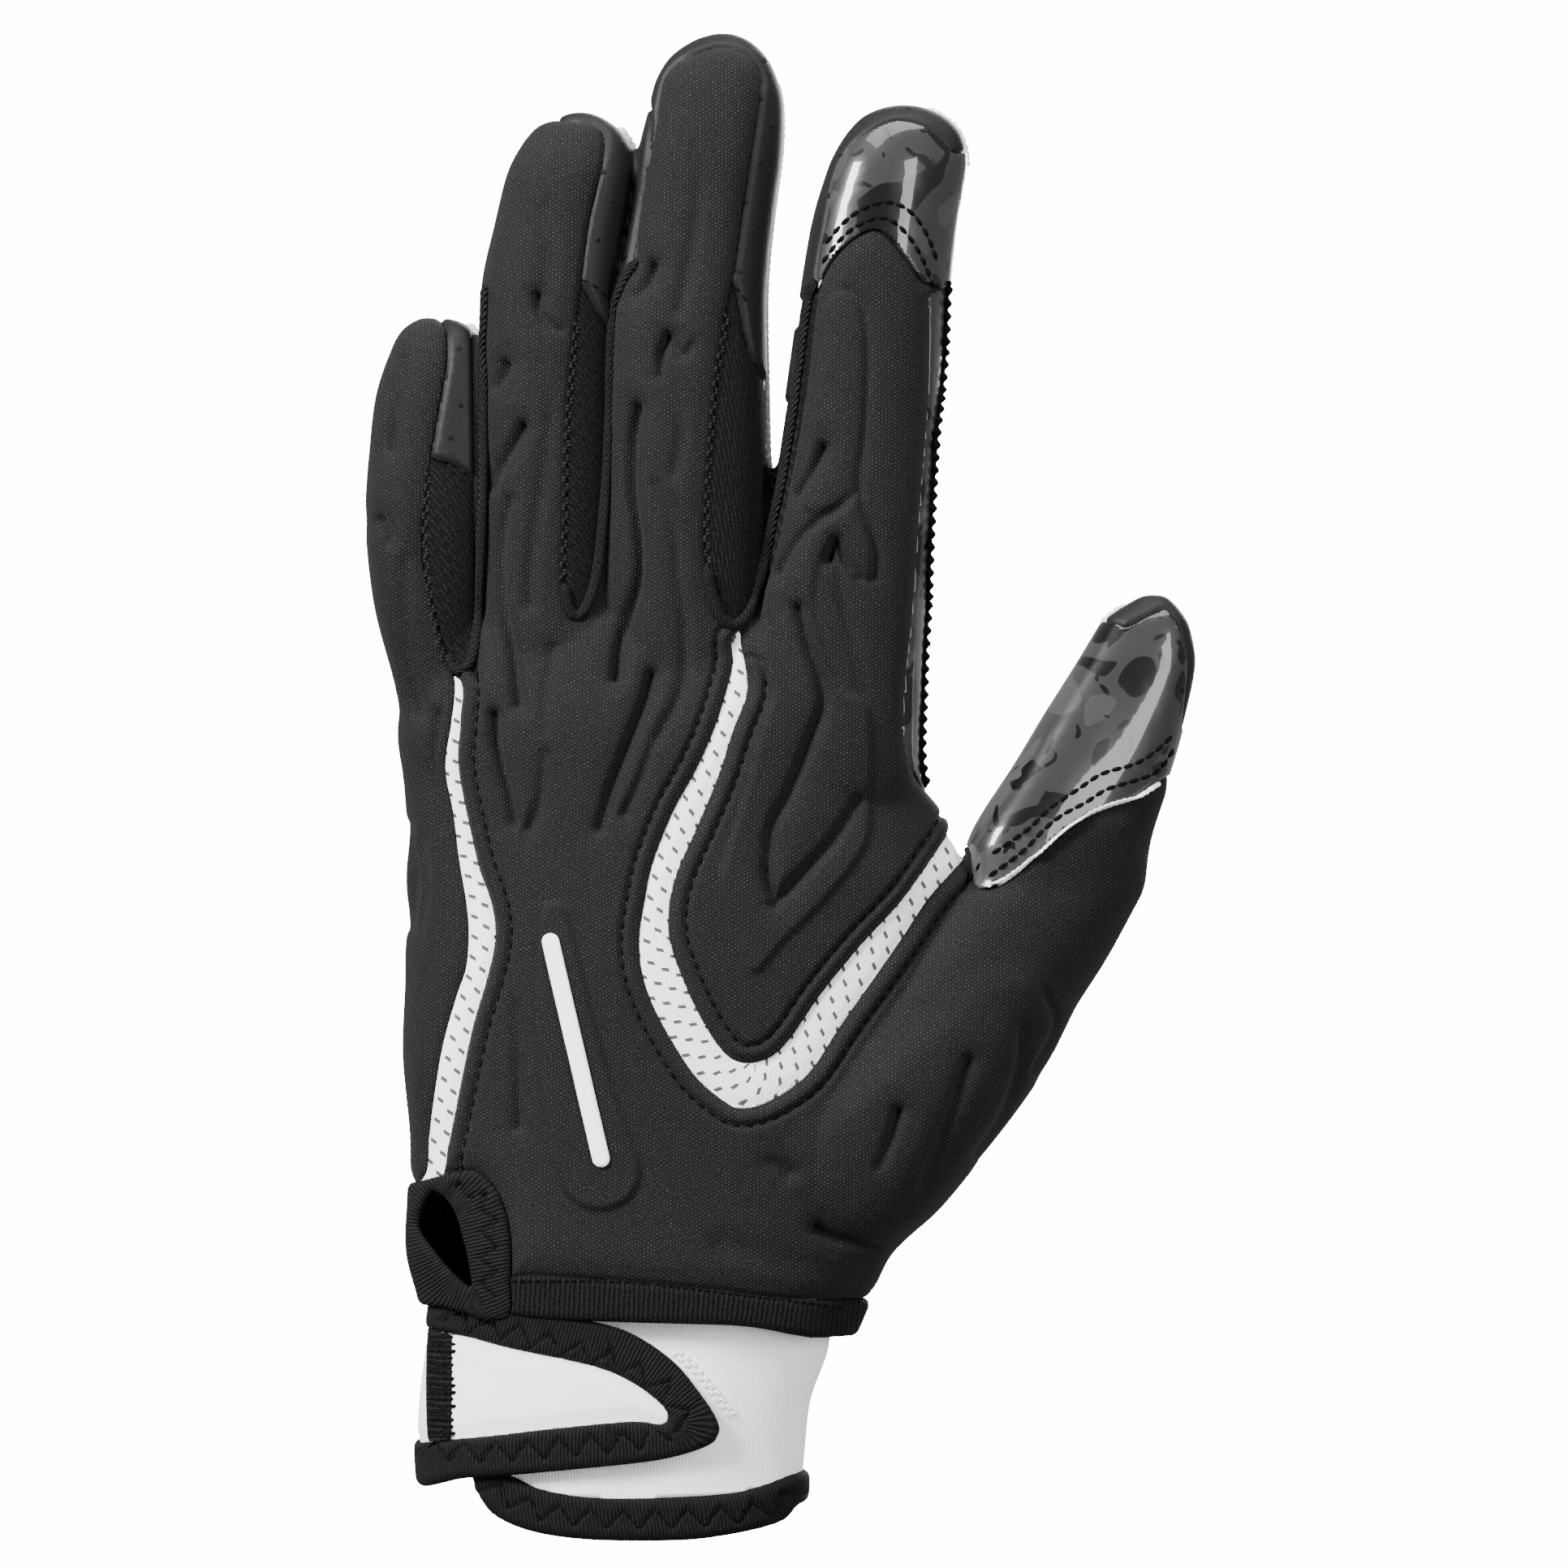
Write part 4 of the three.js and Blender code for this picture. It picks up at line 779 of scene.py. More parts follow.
# panel, depth and half width in mm, strength at the start and at the end, points
valleys = [
    ("back_panel", 0.5, 1.6, 0.6, 1.0, [(672, 262), (676, 320), (668, 380)]),
    ("back_panel", 1.4, 0.8, 1.0, 0.3, [(664, 366), (666, 385), (678, 402), (690, 410)]),
    ("back_panel", 1.4, 0.9, 1.0, 0.6, [(625, 452), (621, 464), (617, 474)]),
    ("back_panel", 1.4, 0.9, 1.0, 0.5, [(646, 528), (630, 556), (616, 582), (612, 600)]),
    ("back_panel", 1.3, 0.9, 0.5, 1.0, [(630, 618), (619, 676), (621, 749), (634, 813), (640, 868)]),
    ("back_panel", 0.7, 1.2, 0.3, 1.0, [(668, 450), (679, 500), (671, 585), (657, 690), (655, 745)]),
    ("back_panel", 0.7, 1.0, 0.6, 0.3, [(683, 800), (677, 850), (673, 900)]),
    ("back_panel", 0.9, 0.9, 0.4, 1.0, [(674, 930), (668, 985), (655, 1020)]),
    ("back_panel", 1.5, 0.9, 1.0, 0.7, [(611, 882), (615, 928), (627, 974), (635, 1012)]),
    ("back_panel", 0.5, 1.2, 0.5, 1.0, [(855, 185), (862, 230), (854, 300), (838, 385)]),
    ("back_panel", 1.5, 0.9, 1.0, 0.5, [(806, 330), (799, 349), (787, 366)]),
    ("back_panel", 1.5, 0.8, 1.0, 0.6, [(825, 418), (816, 440), (815, 464)]),
    ("back_panel", 0.9, 0.8, 1.0, 0.4, [(828, 424), (842, 440), (852, 430)]),
    ("back_panel", 0.6, 1.1, 0.7, 0.8, [(819, 470), (836, 506), (840, 545), (832, 585)]),
    ("back_panel", 1.5, 0.9, 1.0, 1.0, [(786, 505), (778, 549), (778, 608), (787, 676), (785, 722),
                                        (768, 775), (760, 836)]),
    ("back_panel", 0.7, 1.0, 0.5, 1.0, [(810, 600), (832, 650), (837, 720), (845, 780), (841, 850),
                                        (812, 910)]),
    ("back_panel", 1.5, 0.9, 1.0, 0.7, [(804, 832), (794, 868), (771, 928), (753, 976), (741, 1020)]),
    ("back_panel", 1.0, 0.8, 0.4, 0.8, [(806, 918), (789, 965), (771, 1003)]),
    ("back_panel", 0.8, 0.9, 0.4, 1.0, [(639, 1240), (642, 1290), (642, 1385)]),
    ("back_panel", 1.4, 0.9, 1.0, 0.4, [(1105, 1367), (1097, 1396), (1082, 1432)]),
    ("back_panel", 1.2, 0.9, 1.0, 0.4, [(1188, 1306), (1171, 1354), (1150, 1408), (1130, 1455)]),
    ("back_panel", 1.0, 0.9, 0.8, 0.5, [(1255, 1268), (1250, 1308), (1229, 1367), (1196, 1417)]),
    ("back_panel", 0.9, 0.8, 0.6, 0.8, [(1283, 1222), (1295, 1258), (1281, 1292), (1268, 1315)]),
    ("back_panel", 1.5, 0.9, 1.0, 0.4, [(1006, 1509), (1030, 1522), (1070, 1532)]),
    ("back_panel", 0.9, 1.3, 1.0, 0.3, [(972, 1440), (960, 1432), (942, 1430)]),
    ("back_panel", 0.5, 2.2, 0.8, 0.4, [(890, 1528), (950, 1545), (1010, 1560)]),
    ("index_panel", 0.6, 0.8, 0.6, 1.0, [(1045, 360), (1062, 385), (1067, 449), (1063, 540), (1057, 608),
                                         (1075, 676), (1074, 712)]),
    ("index_panel", 1.4, 0.8, 1.0, 0.5, [(1015, 554), (1003, 581), (985, 610)]),
    ("index_panel", 0.9, 0.8, 0.6, 1.0, [(1056, 608), (1035, 626), (994, 658), (962, 706)]),
    ("index_panel", 1.4, 0.8, 1.0, 0.6, [(1022, 690), (1030, 668), (1040, 690), (1058, 713)]),
    ("index_panel", 0.7, 1.2, 0.8, 0.3, [(1030, 680), (1044, 767), (1062, 850)]),
    ("index_panel", 1.3, 0.9, 1.0, 0.8, [(985, 752), (994, 790), (1014, 862), (994, 919), (971, 978),
                                         (950, 1020), (944, 1075)]),
    ("index_panel", 1.3, 1.0, 1.0, 0.6, [(955, 1112), (985, 1080), (1025, 1035), (1056, 985)]),
    ("index_panel", 1.2, 0.9, 1.0, 1.0, [(944, 1070), (948, 1092), (957, 1112)]),
    ("little_panel", 0.8, 1.0, 0.6, 1.0, [(499, 446), (491, 500), (485, 552)]),
    ("little_panel", 1.2, 0.8, 1.0, 0.6, [(472, 642), (480, 652), (484, 667)]),
    ("little_panel", 0.7, 1.1, 0.5, 1.0, [(503, 690), (500, 750), (508, 820), (520, 880)]),
    ("little_panel", 0.8, 0.9, 1.0, 0.4, [(541, 880), (538, 950), (548, 1020)]),
    ("little_panel", 0.8, 1.0, 0.6, 1.0, [(507, 1016), (515, 1078), (508, 1140)]),
    ("little_panel", 0.6, 1.2, 0.5, 1.0, [(522, 1140), (528, 1090), (520, 1040)]),
]
# panel, lift and softness of the edge in mm, outline
pads = [
    ("index_panel", 0.75, 0.8, [
        (1057, 610), (1074, 676), (1070, 712), (1050, 706), (1030, 668), (1008, 700), (1002, 750), (1014, 800),
        (1032, 850), (1066, 875), (1068, 978), (1062, 1042), (1016, 1105), (962, 1160), (928, 1196),
        (905, 1140), (889, 1087), (900, 1040), (916, 987), (939, 896), (953, 855), (937, 808), (950, 735),
        (985, 668), (1035, 628)]),
    ("index_panel", 0.45, 0.7, [
        (1018, 382), (1042, 362), (1062, 385), (1067, 450), (1063, 540), (1056, 606), (1020, 630),
        (992, 622), (1000, 540), (1012, 450)]),
    ("back_panel", 0.8, 3.0, [
        (1167, 1238), (1150, 1258), (1100, 1305), (1046, 1354), (1008, 1378), (988, 1396), (975, 1425),
        (977, 1458), (1000, 1470), (1022, 1500), (1070, 1532), (1130, 1500), (1180, 1445), (1240, 1380),
        (1296, 1290), (1300, 1230), (1260, 1200), (1210, 1205)]),
    ("back_panel", 0.8, 0.7, [
        (673, 1128), (686, 1114), (700, 1122), (716, 1180), (736, 1260), (758, 1340), (780, 1400),
        (790, 1440), (776, 1472), (742, 1486), (704, 1468), (682, 1400), (668, 1260)]),
]


def stroke(points):
    curve = smooth_through(place(points), 6)
    return curve, np.linalg.norm(np.diff(curve, axis=0), axis=1).sum()


valley_gain = 1.2


def relief(panel, flat):
    sharp, soft = np.zeros(len(flat)), np.zeros(len(flat))
    for owner, depth, half, first, last, points in valleys:
        if owner != panel:
            continue
        curve, length = stroke(points)
        half, depth = half / 1000, depth / 1000
        near = np.all((flat > curve.min(0) - 5 * half) & (flat < curve.max(0) + 5 * half), axis=1)
        distance, along = nearest_on(flat[near], curve, closed=False)
        strength = valley_gain * depth * (first + (last - first) * along / length)
        sharp[near] = np.maximum(sharp[near], strength * np.exp(-(distance / half) ** 2))
        soft[near] = np.maximum(soft[near], 0.4 * strength * np.exp(-(distance / (2.8 * half)) ** 2))
    lift = np.zeros(len(flat))
    for owner, height, edge, points in pads:
        if owner != panel:
            continue
        value = signed_distance(flat, smooth_closed(place(points)))
        lift += height / 1000 * ease(edge / 1000, -edge / 1000, value)
    return lift - sharp - soft


def smooth_closed(points, steps=4):
    wrapped = np.vstack([points[-1], points, points[:2]])
    curve = []
    for i in range(1, len(points) + 1):
        a, b, c, d = wrapped[i - 1:i + 3]
        for t in np.arange(steps) / steps:
            curve.append(0.5 * (2 * b + (c - a) * t + (2 * a - 5 * b + 4 * c - d) * t ** 2
                                + (3 * b - a - 3 * c + d) * t ** 3))
    return np.array(curve)


# %% [markdown]
# ## From flat panel to sewn panel
# A panel is lifted along its own surface direction. The lift is small at its edge, where the seam pulls it
# in, and grows to the full padding within a few millimetres. The two large padded panels are first made
# finer, so that a valley two millimetres wide has enough points. The rim gives each panel the thickness of its cloth.

# %% Panel tools
def finer(points, faces):
    """Splits each triangle in four. New points are moved out to the rounded surface."""
    edges = np.sort(np.concatenate([faces[:, [0, 1]], faces[:, [1, 2]], faces[:, [2, 0]]]), axis=1)
    unique, inverse = np.unique(edges, axis=0, return_inverse=True)
    inverse = inverse.reshape(-1) + len(points)
    first, second = points[unique[:, 0]], points[unique[:, 1]]
    middles = (first + second) / 2
    edge = second[:, :3] - first[:, :3]
    slope_a = (edge * first[:, 3:6]).sum(1, keepdims=True) * first[:, 3:6]
    slope_b = (edge * second[:, 3:6]).sum(1, keepdims=True) * second[:, 3:6]
    middles[:, :3] -= 0.18 * (slope_a - slope_b)
    ab, bc, ca = np.split(inverse, 3)
    a, b, c = faces.T
    new_faces = np.concatenate([(a, ab, ca), (ab, b, bc), (ca, bc, c), (ab, bc, ca)], axis=1).T
    return np.vstack([points, middles]), new_faces


def border_of(points, faces):
    edges = np.concatenate([faces[:, [0, 1]], faces[:, [1, 2]], faces[:, [2, 0]]])
    unique, count = np.unique(np.sort(edges, axis=1), axis=0, return_counts=True)
    return points[np.unique(unique[count == 1])]


def distance_to(points, targets, reach=0.02):
    tree = KDTree(len(targets))
    for i, target in enumerate(targets[:, :3]):
        tree.insert(target, i)
    tree.balance()
    return np.array([min(reach, tree.find(point)[2]) for point in points[:, :3]])


def move_out(points, height):
    moved = points.copy()
    unit = points[:, 3:6] / np.maximum(np.linalg.norm(points[:, 3:6], axis=1, keepdims=True), 1e-9)
    moved[:, :3] += unit * np.asarray(height).reshape(-1, 1)
    return moved


def turned_out(points, faces):
    """The faces of an open panel, turned over if they point into the hand."""
    a, b, c = points[faces[:, 0]], points[faces[:, 1]], points[faces[:, 2]]
    facing = np.cross(b[:, :3] - a[:, :3], c[:, :3] - a[:, :3])
    return faces if (facing * a[:, 3:6]).sum() > 0 else faces[:, ::-1]


def close_round(mesh):
    """Makes the faces of closed little tubes point outwards."""
    work = bmesh.new()
    work.from_mesh(mesh)
    bmesh.ops.recalc_face_normals(work, faces=work.faces)
    work.to_mesh(mesh)
    work.free()


def make_piece(name, points, faces, finish, uv=None, nodes=(), rim=0.0, kept=1.0):
    """Makes an object from points and faces. A plain smooth panel can do with a kept share of its triangles."""
    mesh = bpy.data.meshes.new(name)
    if isinstance(faces, np.ndarray):
        mesh.from_pydata(points[:, :3].tolist(), [], turned_out(points, faces).tolist())
    else:
        mesh.from_pydata(points.tolist(), [], faces)
        close_round(mesh)
    mesh.materials.append(finishes[finish])
    mesh.polygons.foreach_set("use_smooth", [True] * len(mesh.polygons))
    if uv is not None:
        corners = np.empty(len(mesh.loops), int)
        mesh.loops.foreach_get("vertex_index", corners)
        mesh.uv_layers.new(name="cloth").data.foreach_set("uv", uv[corners].astype(np.float32).ravel())
    piece = bpy.data.objects.new(name, mesh)
    bpy.context.scene.collection.objects.link(piece)
    only(piece)
    if kept < 1:
        fewer = piece.modifiers.new("fewer", "DECIMATE")
        fewer.ratio = kept
        bpy.ops.object.modifier_apply(modifier=fewer.name)
    if rim:
        wall = piece.modifiers.new("rim", "SOLIDIFY")
        wall.thickness = rim
        wall.offset = -1
        wall.use_rim_only = True
        bpy.ops.object.modifier_apply(modifier=wall.name)
    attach(piece, "root")
    if nodes:
        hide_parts(*nodes)
    return piece


# %% [markdown]
# ## The padded back
# Three padded panels make the back: the centre with the ring and middle fingers and the thumb, the index
# finger with its knuckle, and the little finger with the outer edge. Along the white mesh the edges of the
# centre and index panels are folded under and sewn down, which leaves a raised band, a stitch line in a
# shallow ditch, and then the pad.

# %% Padded panels
surface_points, surface_faces = [], []


def remember(points, faces):
    offset = sum(len(part) for part in surface_points)
    surface_points.append(points[:, :3])
    surface_faces.append(faces + offset)


stitch_inset = 0.0028
fold_height = 0.00035
ditch_depth = 0.0006


def edge_stretch(name, first, last, steps=6):
    """Part of a panel's smooth edge, from one point of its outline to another."""
    return curves[name][first * steps:last * steps + 1]


# panel: its sewn edges, each with the side that the panel lies on
sewn_edges = {
    "back_panel": [(edge_stretch("v_insert", 1, 23), 1), (edge_stretch("side_insert", 0, 14), -1)],
    "index_panel": [(edge_stretch("index_panel", 6, 24), 1)],
    "little_panel": [],
}


def sewn_fold(flat, edge):
    """A raised fold beside a sewn edge, and the ditch that its stitches pull."""
    near = np.all((flat > edge.min(0) - 0.006) & (flat < edge.max(0) + 0.006), axis=1)
    distance, _ = nearest_on(flat[near], edge, closed=False)
    height = np.zeros(len(flat))
    height[near] = fold_height * np.exp(-((distance - stitch_inset / 2) / 0.0009) ** 2)
    height[near] -= ditch_depth * np.exp(-((distance - stitch_inset) / 0.0005) ** 2)
    return height


for name, fill in (("back_panel", 0.7), ("index_panel", 0.7), ("little_panel", 0.6)):
    points, faces = panels[name]
    if name != "little_panel":
        points, faces = finer(points, faces)
    flat = points[:, [0, 2]]
    to_border = distance_to(points, border_of(points, faces))
    height = 0.0002 + 0.0007 * (1 - np.exp(-(to_border / 0.0022) ** 2)) - 0.0005 * np.exp(-(to_border / 0.0005) ** 2)
    height += relief(name, flat) * ease(0.0, 0.0025, to_border)
    for edge, _ in sewn_edges[name]:
        height += sewn_fold(flat, edge)
    points = move_out(points, height)
    remember(points, faces)
    piece = make_piece(name + "_padded", points, faces, "black_knit", nodes=[name], rim=0.0014)
    print(name, len(faces), "triangles, relief from", round(height.min() * 1000, 2), "to",
          round(height.max() * 1000, 2), "mm")

# %% [markdown]
# ## Inserts, finger sides and grip
# The white inserts lie lower than the panels that are folded over them. A cloth that follows a curved
# outline needs its pattern to follow it too, so each insert gets a UV map of the distance along its
# centre line and the distance from it. The finger sides and the gussets are thin and lie lower still.

# %% Centre lines and thin panels
centre_lines = {
    "v_insert": [(908, 790), (903, 850), (884, 905), (857, 975), (828, 1040), (809, 1110), (806, 1160),
                 (822, 1215), (850, 1265), (885, 1310), (925, 1335), (965, 1318), (1000, 1275), (1050, 1210),
                 (1105, 1145), (1150, 1085), (1188, 1030)],
    "side_insert": [(560, 850), (556, 930), (568, 1010), (584, 1070), (594, 1130), (590, 1190), (574, 1250),
                    (558, 1320), (546, 1390), (535, 1450)],
}


def cloth_map(points, line):
    """Distance along a centre line, and the signed distance from it."""
    curve = smooth_through(place(line), 8)
    flat = points[:, [0, 2]]
    distance, along = nearest_on(flat, curve, closed=False)
    steps = np.concatenate([[0], np.cumsum(np.linalg.norm(np.diff(curve, axis=0), axis=1))])
    foot = np.column_stack([np.interp(along, steps, curve[:, 0]), np.interp(along, steps, curve[:, 1])])
    ahead = np.column_stack([np.interp(along + 1e-4, steps, curve[:, 0]), np.interp(along + 1e-4, steps, curve[:, 1])])
    way, off = ahead - foot, flat - foot
    return np.column_stack([along, distance * np.sign(way[:, 0] * off[:, 1] - way[:, 1] * off[:, 0])])


for name, line in centre_lines.items():
    points, faces = panels[name]
    to_border = distance_to(points, border_of(points, faces))
    points = move_out(points, -0.0004 + 0.0003 * ease(0, 0.002, to_border))
    remember(points, faces)
    make_piece(name + "_mesh", points, faces, "mesh", uv=cloth_map(points, line),
               nodes=[name], rim=0.0008)

for name in ("little", "ring", "middle", "index", "thumb"):
    points, faces = panels[name + "_fourchette"]
    to_border = distance_to(points, border_of(points, faces))
    points = move_out(points, 0.0002 * ease(0, 0.0012, to_border) - 0.0006 * np.exp(-(to_border / 0.0005) ** 2))
    remember(points, faces)
    make_piece(name + "_finger_side", points, faces, "fourchette",
               nodes=[name + "_fourchette"], rim=0.0008)

# the ribs of each gusset lean to the right on their way down, by this many degrees
for name, lean in (("little_ring", 40), ("ring_middle", 45), ("middle_index", 12)):
    points, faces = panels[name + "_gusset"]
    to_border = distance_to(points, border_of(points, faces))
    points = move_out(points, -0.0005 + 0.0002 * ease(0, 0.0012, to_border))
    remember(points, faces)
    sideways, high = points[:, 0] + 0.6 * points[:, 1], points[:, 2]
    turn = math.radians(lean)
    uv = np.column_stack([sideways * math.cos(turn) + high * math.sin(turn),
                          high * math.cos(turn) - sideways * math.sin(turn)])
    make_piece(name + "_gusset_knit", points, faces, "gusset_knit", uv=uv,
               nodes=[name + "_gusset"], rim=0.0008)

for name in ("index_cap", "thumb_cap", "palm_panel"):
    points, faces = panels[name]
    to_border = distance_to(points, border_of(points, faces))
    lift = 0.00045 if "cap" in name else 0.0
    points = move_out(points, lift - 0.0004 * np.exp(-(to_border / 0.0005) ** 2) * (name == "palm_panel"))
    remember(points, faces)
    make_piece(name + "_grip", points, faces, "grip", nodes=[name], rim=0.0009,
               kept=0.4 if name == "palm_panel" else 1.0)

# %% [markdown]
# ## Bindings at the wrist
# The vent and the hem are bound with a ribbed tape that is folded over the raw edge. Its section is a low
# round, highest in the middle, so the height is taken from the distance to the edge of the tape. A zigzag
# thread holds the tape down and pulls a small ditch into it, so the ditches are made before the threads.

# %% Zigzags and their ditches
# pitch and reach in mm, points of the photograph
zigzags = {
    "strap": [
        (5.1, 1.7, [(550, 1614), (581, 1625), (625, 1634), (670, 1645), (710, 1658), (746, 1667), (781, 1681),
                    (808, 1694), (826, 1712), (837, 1730), (846, 1752)]),
        (5.1, 1.6, [(519, 1781), (581, 1783), (634, 1781), (683, 1776), (746, 1770), (790, 1765), (826, 1756)])],
    "cuff": [
        (5.1, 1.6, [(600, 1822), (630, 1838), (665, 1852), (723, 1861), (790, 1863), (857, 1861), (915, 1856),
                    (959, 1845), (979, 1830)])],
    "vent_binding": [
        (4.0, 1.3, [(554, 1462), (581, 1462), (603, 1478), (608, 1507), (606, 1538), (606, 1592)])],
    "back_hem": [],
}


def even_steps(path, step):
    lengths = np.concatenate([[0], np.cumsum(np.linalg.norm(np.diff(path, axis=0), axis=1))])
    count = max(2, int(round(lengths[-1] / step)) + 1)
    marks = np.linspace(0, lengths[-1], count)
    return np.column_stack([np.interp(marks, lengths, path[:, i]) for i in range(path.shape[1])])


def zigzag_corners(pitch, reach, line):
    path = even_steps(smooth_through(place(line), 8), pitch / 2000)
    ahead = np.gradient(path, axis=0)
    out = np.column_stack([ahead[:, 1], -ahead[:, 0]])
    out /= np.linalg.norm(out, axis=1, keepdims=True)
    return path + out * (reach / 1000 * np.where(np.arange(len(path)) % 2 == 0, 1, -1))[:, None]


def zigzag_ditch(points, owner):
    """Depth of the ditches that the zigzags of a tape pull into its front."""
    ditch = np.zeros(len(points))
    for row in zigzags[owner]:
        distance, _ = nearest_on(points[:, [0, 2]], zigzag_corners(*row), closed=False)
        ditch = np.maximum(ditch, 0.00035 * np.exp(-(distance / 0.0004) ** 2))
    return np.where(points[:, 1] < 0, ditch, 0)


# %% Vent binding and hem
def bound_height(to_border, height, reach):
    share = np.clip(to_border / reach, 0, 1)
    return height * np.sqrt(1 - (1 - share) ** 2)


binding_lines = {
    "vent_binding": [(628, 1614), (612, 1575), (600, 1520), (585, 1475), (555, 1452), (522, 1475),
                     (508, 1505), (520, 1550), (545, 1590), (575, 1606)],
    "back_hem": [(630, 1590), (740, 1596), (880, 1603), (980, 1618), (1060, 1628)],
}
for name, line in binding_lines.items():
    points, faces = panels[name]
    points, faces = finer(points, faces)
    to_border = distance_to(points, border_of(points, faces))
    points = move_out(points, bound_height(to_border, 0.0011, 0.0014) - zigzag_ditch(points, name))
    remember(points, faces)
    make_piece(name + "_tape", points, faces, "hem" if name == "back_hem" else "binding",
               uv=cloth_map(points, line), nodes=[name], rim=0.0014)

# %% [markdown]
# ## Cuff and strap
# The cuff is a tube of white stretch cloth. The strap is wrapped round it and closes on the back. Both start
# as a fine grid round the wrist, which is cut by outlines as the hand was, once for the front and once for
# the palm's side. The grid carries the distance round the wrist, and that becomes the UV map.

# %% Outlines at the wrist
wrist_outlines = {
    "strap": [
        (-45.4, 15.7), (-21.5, 15.7), (-5.6, 14.6), (2.4, 13.8), (10.4, 12.0), (15.9, 9.8), (19.1, 8.1),
        (19.3, 7.1), (16.7, 6.3), (6.4, 5.4), (-13.5, 4.7), (-29.5, 4.2), (-45.4, 4.0)],
    "strap_field": [
        (-45.4, 13.6), (-32.4, 13.6), (-21.5, 12.8), (-5.6, 11.7), (2.4, 10.6), (8.0, 9.2), (9.6, 8.3),
        (8.0, 7.8), (2.4, 8.0), (-13.5, 7.5), (-32.7, 6.7), (-45.4, 6.7)],
    "strap_root": [
        (-45.4, 15.7), (-32.7, 15.3), (-19.9, 13.6), (-10.4, 13.0), (-10.4, 6.5), (-23.1, 5.0), (-45.4, 4.0)],
    "strap_root_field": [
        (-45.4, 13.6), (-32.7, 13.3), (-19.9, 12.1), (-14.0, 11.5), (-14.0, 8.2), (-23.1, 6.9), (-45.4, 6.7)],
    "stitched_band": [(-36.9, 14.0), (-32.9, 14.0), (-32.9, 6.8), (-36.9, 6.8)],
    "cuff_band": [
        (-46.0, 15.7), (50.0, 15.7), (50.0, 4.5), (35.1, 4.3), (29.5, 3.6), (18.3, 3.1), (-0.8, 2.9),
        (-13.5, 3.3), (-20.7, 4.3), (-28.0, 5.2), (-46.0, 6.8)],
    "cuff_binding": [
        (-46.0, 7.3), (-28.0, 5.6), (-20.7, 4.2), (-13.5, 3.4), (-0.8, 2.9), (18.3, 3.1), (27.0, 3.6),
        (35.1, 4.4), (43.8, 4.5), (43.8, 2.5), (35.0, 2.2), (30.9, 1.1), (18.3, 0.3), (7.5, 0.1),
        (-6.7, 0.2), (-17.2, 0.7), (-24.4, 1.7), (-27.9, 3.2), (-30.5, 4.6), (-46.0, 5.6)],
}
for name, outline in wrist_outlines.items():
    curves[name] = closed_curve(outline)


def wrist_grid(grow, columns, steps):
    """Tube round the wrist, open along its thumb side, with the way round it in the last column."""
    sections = smooth_through(level_sections(cuff_rows, grow), steps)
    turns = np.arange(columns + 1) / columns * 2 * math.pi
    rings = []
    for cx, cy, z, half_width, half_depth in sections:
        x, y = section_ring(turns, half_width, half_depth)
        x, y = x + cx, y + cy + middle(x + cx, np.full(columns + 1, z))
        ahead = np.column_stack([np.gradient(x), np.gradient(y)])
        ahead /= np.maximum(np.linalg.norm(ahead, axis=1, keepdims=True), 1e-12)
        round_way = np.concatenate([[0], np.cumsum(np.hypot(np.diff(x), np.diff(y)))])
        rings.append(np.column_stack([x, y, np.full(columns + 1, z), ahead[:, 1], -ahead[:, 0],
                                      np.zeros(columns + 1), round_way]))
    points = np.vstack(rings)
    corner = (np.arange(len(rings) - 1)[:, None] * (columns + 1) + np.arange(columns)[None, :]).ravel()
    up = corner + columns + 1
    faces = np.concatenate([np.column_stack([corner, corner + 1, up + 1]), np.column_stack([corner, up + 1, up])])
    return points, faces


def wrist_piece(points, faces, front, root=None):
    """Part of the tube inside the front outline and, on the palm's side, inside the root outline."""
    flat = points[:, [0, 2]]
    value = signed_distance(flat, curves[front])
    if root is not None:
        palm_value = signed_distance(flat, curves[root])
        value = np.minimum(np.maximum(value, points[:, 1] - 0.0003), np.maximum(palm_value, 0.0003 - points[:, 1]))
    return split_by(points, faces, value)


# %% Cuff, binding and strap
cuff, _ = wrist_piece(*wrist_grid(0.0, 240, 16), "cuff_band")
points = cuff[0].copy()
crease = np.sin(points[:, 0] * 260 + points[:, 2] * 180) * np.sin(points[:, 0] * 90 - points[:, 2] * 240)
points = move_out(points, 0.00025 * crease)
remember(points, cuff[1])
make_piece("cuff_cloth", points, cuff[1], "cuff", uv=points[:, [6, 2]], nodes=["cuff_band"], rim=0.0016)

binding, _ = wrist_piece(*wrist_grid(0.0, 320, 24), "cuff_binding")
points, faces = finer(*binding)
to_border = distance_to(points, border_of(points, faces))
points = move_out(points, -0.0004 + bound_height(to_border, 0.0016, 0.0018) - zigzag_ditch(points, "cuff"))
remember(points, faces)
make_piece("cuff_binding_tape", points, faces, "binding", uv=points[:, [6, 2]],
           nodes=["cuff_binding"], rim=0.0024)

whole_strap, _ = wrist_piece(*wrist_grid(0.0022, 320, 24), "strap", "strap_root")
field, edge = wrist_piece(*whole_strap, "strap_field", "strap_root_field")
points, faces = field
to_border = distance_to(points, border_of(points, faces))
points = move_out(points, 0.0004 * ease(0, 0.003, to_border) - 0.0002)
remember(points, faces)
make_piece("strap_cloth", points, faces, "strap", uv=points[:, [6, 2]], nodes=["strap_tab"], rim=0.0016)

points, faces = finer(*edge)
to_border = distance_to(points, border_of(points, faces))
points = move_out(points, -0.0003 + bound_height(to_border, 0.0012, 0.0015) - zigzag_ditch(points, "strap"))
remember(points, faces)
